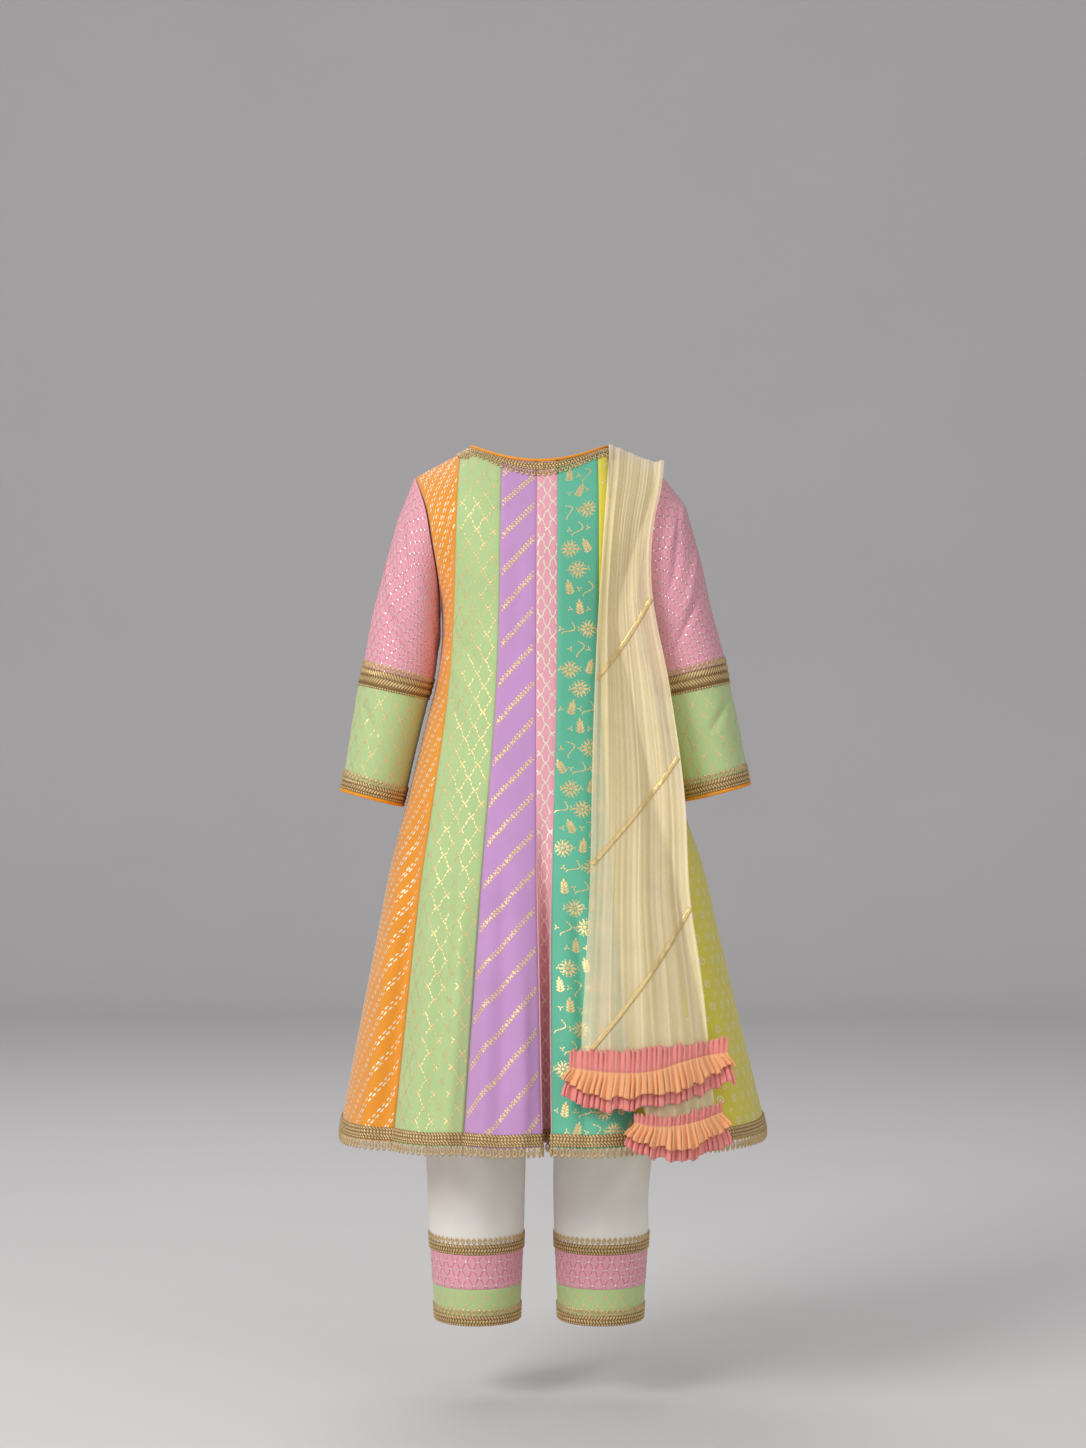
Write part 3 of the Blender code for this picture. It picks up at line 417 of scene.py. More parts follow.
class AnarkaliColours(bpy.types.PropertyGroup):
    """Colours of the cloth and trims."""
    orange: swatch("Orange", "Cotton of the side panels", "#ee9620")
    green: swatch("Green", "Cotton of the wide panels, cuffs and leg bands", "#b5ce8e")
    purple: swatch("Purple", "Cotton of the middle panels", "#c592c7")
    pink: swatch("Pink", "Cotton of the narrow panels, sleeves and leg bands", "#e9a4b1")
    dark_pink: swatch("Dark pink", "Thread in the pink cotton", "#cf7688")
    teal: swatch("Teal", "Ground of the brocade", "#5bb896")
    yellow: swatch("Yellow", "Cotton of the other side panels", "#dfd043")
    piping: swatch("Piping", "Piping at the neck and cuffs", "#f7960f")
    gold: swatch("Gold", "Foil, thread and lace", "#eacb8c")
    # The lace ground's colour is the lace's gold darkened as painted shade between the stitches
    lace: swatch("Lace", "Braid and drops of the laces", "#d8ba86")
    ground: swatch("Lace ground", "Ground under the braid", "#86683c")
    cream: swatch("Cream", "Cream print on the cotton", "#f6ead0")
    silver: swatch("Silver", "Sequins on the sleeves", "#f3e9e6")
    white: swatch("White", "Cotton of the trousers", "#f6f1ea")
    net: swatch("Net", "Net of the dupatta", "#fbe6bd")
    peach: swatch("Peach", "Upper ruffle", "#f9b27c")
    rose: swatch("Rose", "Under ruffle", "#f5988f")
    floor: swatch("Floor", "Floor and backdrop", "#dcd9d8")


# Numbers of the surfaces

def read(table, columns, name, where):
    """A named column at places in the first one, as a cubic through the rows.

    For a share t between rows a and b with slopes m and n per width w:
    p = (2t^3 - 3t^2 + 1) a + (t^3 - 2t^2 + t) w m + (3t^2 - 2t^3) b + (t^3 - t^2) w n.
    """
    rows = np.array(table, dtype=float)
    rows = rows[np.argsort(rows[:, 0])]
    keys = rows[:, 0]
    values = rows[:, columns.index(name)]
    slopes = np.gradient(values, keys)
    where = np.clip(where, keys[0], keys[-1])
    cell = np.clip(np.searchsorted(keys, where, side="right") - 1, 0, len(keys) - 2)
    width = keys[cell + 1] - keys[cell]
    t = (where - keys[cell]) / width
    start = ((2.0 * t ** 3 - 3.0 * t ** 2 + 1.0) * values[cell]
             + (t ** 3 - 2.0 * t ** 2 + t) * width * slopes[cell])
    end = (3.0 * t ** 2 - 2.0 * t ** 3) * values[cell + 1] + (t ** 3 - t ** 2) * width * slopes[cell + 1]
    return start + end


def smooth_step(share):
    """Ease from 0 to 1: s^2 (3 - 2 s)."""
    share = np.clip(share, 0.0, 1.0)
    return share * share * (3.0 - 2.0 * share)


def unit(vectors):
    """Vectors of length 1."""
    return vectors / np.maximum(np.linalg.norm(vectors, axis=-1, keepdims=True), 1e-12)


def crease_relief(across, down, creases, wander=0.12):
    """Height of soft folds at each point.

    With t along a fold and d off its line, each adds h exp(-(d / w)^2) e(4 t) e(4 (1 - t)),
    where e is smooth_step and d wanders by w wander sin(9 t).
    """
    relief = np.zeros(np.broadcast(across, down).shape)
    for a0, d0, a1, d1, width, height in creases:
        run_a, run_d = a1 - a0, d1 - d0
        full = np.hypot(run_a, run_d)
        t = ((across - a0) * run_a + (down - d0) * run_d) / full ** 2
        off = ((across - a0) * run_d - (down - d0) * run_a) / full
        off = off + wander * width * np.sin(9.0 * t)
        relief += (height * np.exp(-(off / width) ** 2)
                   * smooth_step(4.0 * t) * smooth_step(4.0 * (1.0 - t)))
    return relief


def even_columns(points, count):
    """The same rows with evenly spaced points.

    The lengths L_j = sum |p_j - p_(j-1)| are read at k L / (count - 1).
    """
    steps = np.linalg.norm(np.diff(points, axis=1), axis=2)
    lengths = np.concatenate([np.zeros((len(points), 1)), np.cumsum(steps, axis=1)], axis=1)
    wanted = lengths[:, -1:] * np.linspace(0.0, 1.0, count)
    cell = (lengths[:, None, 1:-1] <= wanted[:, :, None]).sum(axis=2)
    rows = np.arange(len(points))[:, None]
    start = lengths[rows, cell]
    share = ((wanted - start) / np.maximum(lengths[rows, cell + 1] - start, 1e-12))[..., None]
    return points[rows, cell] * (1.0 - share) + points[rows, cell + 1] * share


class Patch:
    """A grid of cloth and the lengths along it.

    points is rows by columns by 3. turn is 1 where across x down points outward, else -1.
    A wrapped patch is a tube whose last column lies on its first.
    """

    def __init__(self, points, turn, wrap=False):
        """Keep the grid and work out its normals, widths and lengths."""
        self.points = points
        self.turn = turn
        self.wrap = wrap
        across = np.gradient(points, axis=1)
        if wrap:
            across[:, 0] = across[:, -1] = points[:, 1] - points[:, -2]
        down = np.gradient(points, axis=0)
        self.normals = turn * unit(np.cross(across, down))
        steps = np.linalg.norm(np.diff(points, axis=1), axis=2)
        self.widths = steps.sum(axis=1)
        middle = points[:, points.shape[1] // 2]
        falls = np.linalg.norm(np.diff(middle, axis=0), axis=1)
        self.downs = np.concatenate([[0.0], np.cumsum(falls)])

    @property
    def length(self):
        """Length down the middle."""
        return float(self.downs[-1])

    @property
    def width(self):
        """Greatest width."""
        return float(self.widths.max())

    @property
    def area(self):
        """Area: half of |diagonal x diagonal| of every cell."""
        first = self.points[1:, 1:] - self.points[:-1, :-1]
        second = self.points[1:, :-1] - self.points[:-1, 1:]
        return float(np.linalg.norm(np.cross(first, second), axis=2).sum() / 2.0)

    def edge_distance(self):
        """Distance of every point from the nearer long edge."""
        share = np.linspace(0.0, 1.0, self.points.shape[1])
        return np.minimum(share, 1.0 - share) * self.widths[:, None]

    def raised(self, relief):
        """The patch with every point moved out by its relief."""
        return Patch(self.points + self.normals * np.asarray(relief)[..., None], self.turn, self.wrap)

    def row_slice(self, first, last):
        """The patch between two rows."""
        return Patch(self.points[first:last], self.turn, self.wrap)

    def place(self, across, down, lift=0.0):
        """Points at distances across from the middle and down from the top, lifted off the grid.

        Row r is where the middle is that long and share s = 1/2 + across / width, and the
        point is p00 (1-f)(1-g) + p01 (1-f) g + p10 f (1-g) + p11 f g with f and g in the cell.
        """
        rows, columns = self.points.shape[:2]
        row = np.interp(down, self.downs, np.arange(rows))
        low = np.clip(row.astype(int), 0, rows - 2)
        f = row - low
        width = (1.0 - f) * self.widths[low] + f * self.widths[low + 1]
        share = 0.5 + across / width
        share = share % 1.0 if self.wrap else np.clip(share, 0.0, 1.0)
        column = share * (columns - 1)
        left = np.clip(column.astype(int), 0, columns - 2)
        f = f[..., None]
        g = (column - left)[..., None]
        spot = 0.0
        normal = 0.0
        for step_row, part_row in ((0, 1.0 - f), (1, f)):
            for step_column, part_column in ((0, 1.0 - g), (1, g)):
                part = part_row * part_column
                spot = spot + self.points[low + step_row, left + step_column] * part
                normal = normal + self.normals[low + step_row, left + step_column] * part
        return spot + unit(normal) * np.asarray(lift)[..., None]

    def inside(self, places, margin):
        """Which places lie on the cloth, a margin in from its edges."""
        width = np.interp(places[:, 1], self.downs, self.widths)
        across = True if self.wrap else np.abs(places[:, 0]) < width / 2.0 - margin
        if self.wrap:
            across = np.abs(places[:, 0]) < width / 2.0 - margin / 2.0
        return across & (places[:, 1] > margin) & (places[:, 1] < self.length - margin)


# The kurta

def top_edge(x, side):
    """Depth and height of the top edge: neckline d (1 - (x/n)^2)^0.5, then the falling shoulder."""
    inside = np.clip(1.0 - (x / NECK_HALF) ** 2, 0.0, None)
    beyond = np.clip((np.abs(x) - NECK_HALF) / (SHOULDER_HALF - NECK_HALF), 0.0, None)
    height = -NECK_DROP[side] * inside - SHOULDER_FALL * beyond
    return NECK_DEPTH[side] * np.sqrt(inside), height


def body_depth(x, z, side):
    """Distance of the kurta from its mid-plane: d (1 - |x/h|^p)^(1/p), closed over the shoulder."""
    left = read(SECTIONS, SECTION_COLUMNS, "half_left", z)
    right = read(SECTIONS, SECTION_COLUMNS, "half_right", z)
    half = np.where(x >= 0.0, left, right)
    deep = read(SECTIONS, SECTION_COLUMNS, "back" if side == BACK else "front", z)
    across = np.clip(np.abs(x) / half, 0.0, 1.0)
    full = deep * (1.0 - across ** SECTION_POWER) ** (1.0 / SECTION_POWER)
    edge, height = top_edge(x, side)
    below = np.clip((height - z) / YOKE_ROUNDING, 0.0, 1.0)
    blend = smooth_step(np.abs(x) / NECK_HALF)
    fullness = NECK_FULLNESS + (SHOULDER_FULLNESS - NECK_FULLNESS) * blend
    return edge + (full - edge) * (1.0 - (1.0 - below) ** 2) ** fullness


def side_half(z, name):
    """Half width of the kurta: the armhole above the underarm, the side seam below."""
    armhole = read(ARMHOLE, ARMHOLE_COLUMNS, "half", z)
    return np.where(z >= UNDERARM, armhole, read(SECTIONS, SECTION_COLUMNS, name, z))


def seam_x(index, z):
    """x of a seam, counted from the +X side."""
    if index == 0:
        return side_half(z, "half_left")
    if index == len(PANELS):
        return -side_half(z, "half_right")
    return read(SEAMS, SEAM_COLUMNS, SEAM_COLUMNS[index], z)


def panel_shares(index):
    """Shares across a panel, closer together where it turns the side: 1 - cos or sin of a quarter turn."""
    even = np.linspace(0.0, 1.0, 3 * PANEL_GRID)
    if index == 0:
        return 1.0 - np.cos(even * np.pi / 2.0)
    if index == len(PANELS) - 1:
        return np.sin(even * np.pi / 2.0)
    return even


def panel_patch(index, side, crease):
    """One panel of the kurta from the shoulder to the hem, with its flute, seams and creases."""
    share = panel_shares(index)[None, :]
    top_x = (1.0 - share) * seam_x(index, np.zeros(1)) + share * seam_x(index + 1, np.zeros(1))
    top_z = top_edge(top_x, side)[1]
    yoke = (np.arange(YOKE_GRID) / YOKE_GRID)[:, None] ** 1.4
    skirt = np.linspace(UNDERARM, HEM, SKIRT_GRID)[:, None]
    z = np.concatenate([top_z + (UNDERARM - top_z) * yoke, skirt + 0.0 * share])
    near = seam_x(index, z)
    far = seam_x(index + 1, z)
    x = (1.0 - share) * near + share * far
    y = body_depth(x, z, side)
    flute = read(FLUTES, FLUTE_COLUMNS, "flute", z)
    if PANELS[index] == "pink":
        fold = read(FLUTES, FLUTE_COLUMNS, "fold", z)
        amount = fold / FLUTES[-1][2]
        steps = len(FOLD_SHAPE) - 1
        place = steps - np.abs(share * 2.0 * steps - steps)
        depth = read(FOLD_SHAPE, FOLD_COLUMNS, "depth", place)
        half = read(FOLD_SHAPE, FOLD_COLUMNS, "half", place)
        x = (1.0 - amount) * x + amount * (0.5 * (near + far) + np.sign(0.5 - share) * half)
        y = y - SEAM_VALLEY * flute - fold * depth
        points = np.stack([x, side * y, z], axis=-1)
    else:
        first, last = float(index > 0), float(index < len(PANELS) - 1)
        bulge = flute * (np.sin(np.pi * share) - SEAM_VALLEY * ((1.0 - share) * first + share * last))
        half = np.where(x >= 0.0, seam_x(0, z), -seam_x(len(PANELS), z))
        deep = read(SECTIONS, SECTION_COLUMNS, "back" if side == BACK else "front", z)
        lean = unit(np.stack([x / half ** 2, y / deep ** 2], axis=-1))
        points = np.stack([x + bulge * lean[..., 0], side * (y + bulge * lean[..., 1]), z], axis=-1)
    patch = Patch(even_columns(points, PANEL_GRID), -side)
    relief = crease * crease_relief(patch.points[..., 0], patch.points[..., 2], CREASES[side])
    edges = smooth_step(patch.edge_distance() / 0.008)
    dip = SEAM_DIP * np.exp(-(patch.edge_distance() / SEAM_WIDTH) ** 2)
    return patch.raised(relief * edges - dip)


def kurta_patches(sizes):
    """All twelve panels by name."""
    return {
        f"{label}_{name}": panel_patch(index, side, sizes.crease)
        for label, side in SIDES.items()
        for index, name in enumerate(PANELS)
    }


def neck_ring(distance, turns):
    """Points on the kurta round the neck, at a distance out from the neckline.

    At turn q the point is x = (n + d) sin q, at the height z where the kurta is as deep as
    (D + k d) |cos q|.
    """
    x = (NECK_HALF + distance) * np.sin(turns)
    ring = np.zeros((len(turns), 3))
    for side in (BACK, FRONT):
        here = np.cos(turns) * side >= 0.0
        across = x[here][:, None]
        edge, height = top_edge(across, side)
        depth = (NECK_DEPTH[side] + NECK_SPREAD * distance) * np.abs(np.cos(turns[here]))[:, None]
        depth = np.maximum(depth, edge)
        z = height - np.linspace(0.0, NECK_REACH, NECK_STEPS)
        reach = body_depth(across, z, side)
        cell = np.clip((reach[:, 1:-1] <= depth).sum(axis=1), 0, NECK_STEPS - 2)[:, None]
        low = np.take_along_axis(reach, cell, axis=1)
        high = np.take_along_axis(reach, cell + 1, axis=1)
        share = np.clip((depth - low) / np.maximum(high - low, 1e-9), 0.0, 1.0)
        found = np.take_along_axis(z, cell, axis=1) * (1.0 - share)
        found = found + np.take_along_axis(z, cell + 1, axis=1) * share
        ring[here] = np.concatenate([across, side * depth, found], axis=1)
    return ring


def neck_patch():
    """The cloth round the neck as a tube, from the neckline outward, starting at the front."""
    turns = np.linspace(-np.pi, np.pi, 721)
    rings = [neck_ring(distance, turns) for distance in np.linspace(0.0, 0.024, 13)]
    return Patch(even_columns(np.stack(rings), 721), 1, wrap=True)


def hem_patch(patches):
    """The cloth round the hem as a tube, back then front, carried on below the hem."""
    rows = []
    for share in np.linspace(0.0, 1.0, 6):
        height = HEM + HEM_LACE_HEIGHT * (1.0 - share)
        half = []
        for side, label in ((BACK, "back"), (FRONT, "front")):
            line = []
            for name in PANELS:
                grid = patches[f"{label}_{name}"].points
                at = np.interp(-height, -grid[:, 0, 2], np.arange(len(grid)))
                low = min(int(at), len(grid) - 2)
                line.append(grid[low] * (low + 1.0 - at) + grid[low + 1] * (at - low))
            line = np.concatenate(line)
            half.append(line if side == BACK else line[::-1])
        rows.append(np.concatenate(half + [half[0][:1]]))
    below = [rows[-1] - [0.0, 0.0, fall] for fall in (0.003, 0.006, 0.010, 0.014)]
    return Patch(even_columns(np.stack(rows + below), 1501), -1, wrap=True)


# Sleeves and trousers

def sleeve_patch(label, first, last, rows, crease):
    """One sleeve between two rings, from the armhole at ring 0 to the cuff, opened at its inner side.

    A ring is the oval middle + cos q reach + sin q depth, and above ring 1 it eases into the armhole.
    """
    sign = ARMS[label]
    turn = np.linspace(0.0, 1.0, SLEEVE_COLUMNS + 1)
    turns = np.pi + 2.0 * np.pi * turn[None, :]
    ring = np.linspace(first, last, rows)[:, None]
    outer_x, outer_z, inner_x, inner_z, half_depth = (
        read(SLEEVE_RINGS[label], RING_COLUMNS, name, ring) for name in RING_COLUMNS[1:]
    )
    x = (outer_x + inner_x) / 2.0 + np.cos(turns) * (outer_x - inner_x) / 2.0
    z = (outer_z + inner_z) / 2.0 + np.cos(turns) * (outer_z - inner_z) / 2.0
    y = np.sin(turns) * half_depth
    oval = np.stack([x, y, z], axis=-1)
    share = (1.0 - np.cos(turns)) / 2.0
    edge_z = -SHOULDER_FALL + (UNDERARM + SHOULDER_FALL) * share
    edge_x = side_half(edge_z, "half_left")
    back = body_depth(sign * edge_x, edge_z, BACK)
    front = body_depth(sign * edge_x, edge_z, FRONT)
    edge_y = np.where(np.sin(turns) >= 0.0, back, -front)
    edge_x = edge_x + SLEEVE_START[0] + (SLEEVE_START[1] - SLEEVE_START[0]) * share
    armhole = np.stack([edge_x, edge_y, edge_z], axis=-1)
    blend = np.clip(ring, 0.0, 1.0)[..., None]
    points = armhole + (oval - armhole) * (0.55 * blend + 0.45 * smooth_step(blend))
    points[..., 0] *= sign
    patch = Patch(points, -sign, wrap=True)
    relief = crease * crease_relief(turn[None, :] + 0.0 * ring, ring + 0.0 * turn[None, :], SLEEVE_CREASES)
    ends = smooth_step((ring - 0.1) / 0.5) * smooth_step((CUFF - ring) / 0.3)
    return patch.raised(relief * ends)


def leg_row(z):
    """Rings of the +X leg at heights z, from the inner thigh past the front: c - w cos q, -d sin q."""
    turns = np.linspace(0.0, 2.0 * np.pi, LEG_GRID + 1)[None, :]
    x = read(LEGS, LEG_COLUMNS, "centre", z) - read(LEGS, LEG_COLUMNS, "half_width", z) * np.cos(turns)
    y = -read(LEGS, LEG_COLUMNS, "half_depth", z) * np.sin(turns)
    return np.stack([x, y, z + 0.0 * turns], axis=-1)


def hip_rows(z):
    """Rows above the crotch, eased from the thigh rings into half of the hip section."""
    turns = np.linspace(-np.pi / 2.0, np.pi / 2.0, LEG_GRID + 1)[None, :]
    power = 2.0 / SECTION_POWER
    half_width, back, front, joined = (read(HIPS, HIP_COLUMNS, name, z) for name in HIP_COLUMNS[1:])
    x = half_width * np.abs(np.cos(turns)) ** power
    y = np.sign(np.sin(turns)) * np.abs(np.sin(turns)) ** power * np.where(turns > 0.0, back, front)
    whole = np.stack([x, y, z + 0.0 * turns], axis=-1)
    joined = np.clip(joined, 0.0, 1.0)[..., None]
    return (1.0 - joined) * leg_row(z) + joined * whole


def leg_patch(label, top, bottom, rows, crease):
    """One trouser leg between two heights, with its creases."""
    z = np.linspace(top, bottom, rows)[:, None]
    points = np.where(z[..., None] > CROTCH, hip_rows(np.maximum(z, CROTCH)), leg_row(z))
    points[..., 0] = np.maximum(points[..., 0], LEG_CLEAR)
    points[..., 0] *= ARMS[label]
    closed = top <= CROTCH
    patch = Patch(points, -ARMS[label], wrap=closed)
    turn = np.linspace(0.0, 1.0, LEG_GRID + 1)[None, :]
    if label == "right":
        turn = (turn + 0.13) % 1.0
    relief = crease_relief(turn + 0.0 * z, z + 0.0 * turn, LEG_CREASES)
    ends = smooth_step((z - PINK_BAND[0]) / 0.02)
    return patch.raised(crease * relief * ends)


# The dupatta

def drape_point(x, drop, side, lift):
    """Point over the right shoulder at a drop below it, lifted off the kurta.

    Up at the shoulder and out below it: the lift turns from Z to Y as the drop reaches the yoke's rounding.
    """
    half = read(SECTIONS, SECTION_COLUMNS, "half_right", -drop)
    seat = np.minimum(x, DRAPE_REACH * half)
    fade = np.clip(1.0 - drop / DRAPE_FADE, 0.0, 1.0)
    z = top_edge(seat, side)[1] * fade - drop
    z = np.minimum(z, top_edge(seat, side)[1])
    y = body_depth(-seat, z, side)
    steep = 1.0 - np.clip(drop / YOKE_ROUNDING, 0.0, 1.0)
    pile = SHOULDER_PILE * steep * np.clip((x - NECK_HALF) / (SHOULDER_HALF - NECK_HALF), 0.0, 1.2)
    flute = read(FLUTES, FLUTE_COLUMNS, "flute", np.clip(z, FLUTES[-1][0], FLUTES[0][0]))
    height = lift + pile + flute
    out = np.sqrt(1.0 - steep ** 2)
    return np.stack([-x, side * (y + height * out), z + height * steep], axis=-1)


def pleat_ridge(across, drop, phase):
    """Uneven folds across the net, 0 in the troughs and 1 on the ridges.

    With u across and q = 2 pi (5 u + 0.35 sin(5 u) + 0.22 sin(3 u + 4 d)), the fold is
    (1/2 - 1/2 cos q)^1.2, weakened by the slow swell 0.6 + 0.4 sin(9 u + 5 d).
    """
    turns = 5.0 * across + 0.35 * np.sin(5.0 * across + phase) + 0.22 * np.sin(3.0 * across + 4.0 * drop)
    ridge = (0.5 - 0.5 * np.cos(2.0 * np.pi * turns)) ** 1.2
    small = 0.05 * np.sin(2.0 * np.pi * 17.0 * across + 5.0 * drop + phase)
    return 0.42 * ridge * (0.55 + 0.45 * np.sin(9.0 * across + 5.0 * drop)) + 0.7 * small + 0.08


def fold_lines(across, drop, phase):
    """How much the net doubles up, 0 to 1, in narrow lines that drift down it.

    Each line at u_k adds exp(-((u - u_k - 0.02 sin(7 d + k)) / w_k)^2), closer together outward.
    """
    lines = np.zeros(across.shape)
    for number, (place, width, weight) in enumerate(FOLD_LINES):
        drift = place + 0.018 * np.sin(7.0 * drop + 2.0 * number + phase)
        lines += weight * np.exp(-((across - drift) / width) ** 2)
    return np.clip(lines, 0.0, 1.0)


def drape_surface(across, drop, side, extra=0.0):
    """Points of the pleated net at shares across it and drops below the shoulder."""
    inner = read(DRAPE, DRAPE_COLUMNS, "inner", drop)
    outer = read(DRAPE, DRAPE_COLUMNS, "outer", drop)
    pleat_drops, pleat_reliefs = zip(*PLEATS)
    relief = np.interp(drop, pleat_drops, pleat_reliefs)
    ridge = pleat_ridge(across, drop, 0.6 if side == BACK else 2.1)
    edge = 0.0012 * np.sin(19.0 * drop + 3.0 * across)
    x = inner + (outer - inner) * across + edge
    return drape_point(x, drop, side, DRAPE_CLEAR + relief * ridge + extra)


def drape_end(across, side):
    """Drop at which the net ends, with a step to its longer layer."""
    inner, outer = DRAPE_END[side]
    start, width = DRAPE_END_STEP
    return inner + (outer - inner) * smooth_step((across - start) / width)


def dupatta_patch():
    """The whole net from its back end over the shoulder to its front end, and where it doubles up."""
    across = np.linspace(0.0, 1.0, DRAPE_GRID)[None, :]
    share = np.linspace(0.0, 1.0, 90)[:, None] ** 1.25
    halves, lines = {}, {}
    for side in (BACK, FRONT):
        drop = share * drape_end(across, side)
        lines[side] = fold_lines(across + 0.0 * drop, drop, 0.6 * side)
        halves[side] = drape_surface(across + 0.0 * drop, drop, side)
    points = np.concatenate([halves[BACK][::-1], halves[FRONT][1:]])
    lines = np.concatenate([lines[BACK][::-1], lines[FRONT][1:]])
    return Patch(points, 1), lines


def ruffle_wave(across, waves, seed):
    """Uneven waves along a ruffle, from -1 to 1.

    The phase is 2 pi n u with smooth seeded steps added, so no two waves are alike.
    """
    rng = np.random.default_rng(seed)
    knots = np.linspace(0.0, 1.0, 2 * waves)
    shift = np.interp(across, knots, rng.uniform(-0.34, 0.34, len(knots)))
    height = np.interp(across, knots, rng.uniform(0.35, 1.15, len(knots)))
    return height * np.cos(2.0 * np.pi * (waves * across + shift))


def ruffle_patch(name, colour, wave_height):
    """One layer of a ruffle tier, rows from its top edge to its free end."""
    tier = TIERS[name]
    seed = 11 * list(TIERS).index(name) + 3
    waves = tier["waves"]
    across = np.linspace(0.0, 1.0, waves * 9 + 1)[None, :]
    heading, gather, peach_end, pink_end = (
        read(tier["rows"], TIER_COLUMNS, edge, across) for edge in TIER_COLUMNS[1:]
    )
    wave = ruffle_wave(across, waves, seed)
    slow = ruffle_wave(across, waves // 4, seed + 1)
    rng = np.random.default_rng(seed + 2)
    uneven = np.interp(across, np.linspace(0.0, 1.0, waves), rng.uniform(-0.0032, 0.0032, waves))
    half = 7 if colour == "pink" else 0
    up = np.linspace(1.0, 0.0, half, endpoint=False)[:, None] if half else np.zeros((0, 1))
    low = np.linspace(0.0, 1.0, 12)[:, None]
    end = (pink_end if colour == "pink" else peach_end) + uneven
    scallop = 0.0026 * wave + 0.6 * uneven[:, ::-1]
    z_up = gather + (heading + scallop - gather) * up
    z_low = gather + (end + 0.0010 * wave - gather) * low
    z = np.concatenate([z_up, z_low])
    spread = np.concatenate([0.45 * up, low])
    lift = np.concatenate([0.0 * up, 0.35 * low ** 0.5]) * wave_height
    swing = spread ** 0.8 * (wave + 0.35 * slow) * wave_height * 0.62 + 0.0004 * wave
    notch = np.exp(-((across - tier["split"]) / 0.02) ** 2)
    lift = lift + swing + 0.0014 * notch * spread
    flare = tier["flare"] * smooth_step(np.concatenate([0.0 * up, low]))
    inner, outer = tier["x"]
    side_step = 0.0011 * np.sin(2.0 * np.pi * waves * across) * spread
    x = (inner - flare) + (outer - inner + 2.0 * flare) * across + side_step
    layer = RUFFLE_STEP if colour == "peach" else 0.0
    points = drape_point(x, -z, tier["side"], DRAPE_CLEAR + RUFFLE_CLEAR + layer + lift)
    return Patch(points, tier["side"])


# Motifs, as outlines in metres

def round_outline(radius, corners):
    """A regular outline: r cos q, r sin q."""
    turns = np.arange(corners) * 2.0 * np.pi / corners
    return radius * np.stack([np.cos(turns), np.sin(turns)], axis=1)


def dash_outline(long, wide):
    """A bar with pointed ends, long across."""
    a, b = long / 2.0, wide / 2.0
    return np.array([(a, 0.0), (a - b, b), (b - a, b), (-a, 0.0), (b - a, -b), (a - b, -b)])


def leaf_outline(long, wide):
    """A pointed leaf from its stem at 0: width w sin(pi t)^0.8."""
    share = np.linspace(0.0, 1.0, 5)
    half = wide / 2.0 * np.sin(np.pi * share) ** 0.8
    upper = np.stack([long * share, half], axis=1)
    lower = np.stack([long * share, -half], axis=1)[-2:0:-1]
    return np.concatenate([upper, lower])


def drop_outline(long, wide):
    """A teardrop that hangs from 0: half width w/2 sin(pi t) (0.35 + 0.9 t)."""
    share = np.linspace(0.0, 1.0, 7)
    half = wide / 2.0 * np.sin(np.pi * share ** 1.25) ** 0.75
    right = np.stack([half, long * share], axis=1)
    left = np.stack([-half, long * share], axis=1)[-2:0:-1]
    return np.concatenate([right, left])


def stamp(patch, outline, places, angles, lift, rise, grow=1.0):
    """Small domed motifs laid on a patch.

    A corner (a, b) lands at place + (a cos q - b sin q, a sin q + b cos q), and the middle
    of the motif stands higher than its rim by rise.
    """
    centre = outline.mean(axis=0, keepdims=True)
    corners = np.concatenate([outline, centre])
    angles = np.broadcast_to(angles, len(places))[:, None]
    grow = np.broadcast_to(grow, len(places))[:, None]
    across = places[:, :1] + grow * (corners[:, 0] * np.cos(angles) - corners[:, 1] * np.sin(angles))
    down = places[:, 1:] + grow * (corners[:, 0] * np.sin(angles) + corners[:, 1] * np.cos(angles))
    lifts = np.full(across.shape, lift)
    lifts[:, -1] += rise
    points = patch.place(across, down, lifts)
    count = len(outline)
    rim = np.arange(count)
    fan = np.stack([rim, (rim + 1) % count, np.full(count, count)], axis=1)
    faces = fan[None] + np.arange(len(places))[:, None, None] * (count + 1)
    return points.reshape(-1, 3), faces.reshape(-1, 3)


def stamp_loops(patch, outline, places, angles, lift, rise, hole=0.52):
    """Motifs with an open middle: an outer rim, a raised ridge and an inner rim of hole times the size."""
    centre = outline.mean(axis=0, keepdims=True)
    sizes = np.array([1.0, (1.0 + hole) / 2.0, hole])[:, None, None]
    corners = (centre + (outline - centre) * sizes).reshape(-1, 2)
    angles = np.broadcast_to(angles, len(places))[:, None]
    across = places[:, :1] + corners[:, 0] * np.cos(angles) - corners[:, 1] * np.sin(angles)
    down = places[:, 1:] + corners[:, 0] * np.sin(angles) + corners[:, 1] * np.cos(angles)
    count = len(outline)
    lifts = np.full(across.shape, lift)
    lifts[:, count:2 * count] += rise
    points = patch.place(across, down, lifts)
    rim = np.arange(count)
    after = (rim + 1) % count
    quads = np.concatenate([
        np.stack([rim, after, after + count, rim + count], axis=1),
        np.stack([rim, after, after + count, rim + count], axis=1) + count,
    ])
    faces = quads[None] + np.arange(len(places))[:, None, None] * (3 * count)
    return points.reshape(-1, 3), faces.reshape(-1, 4)


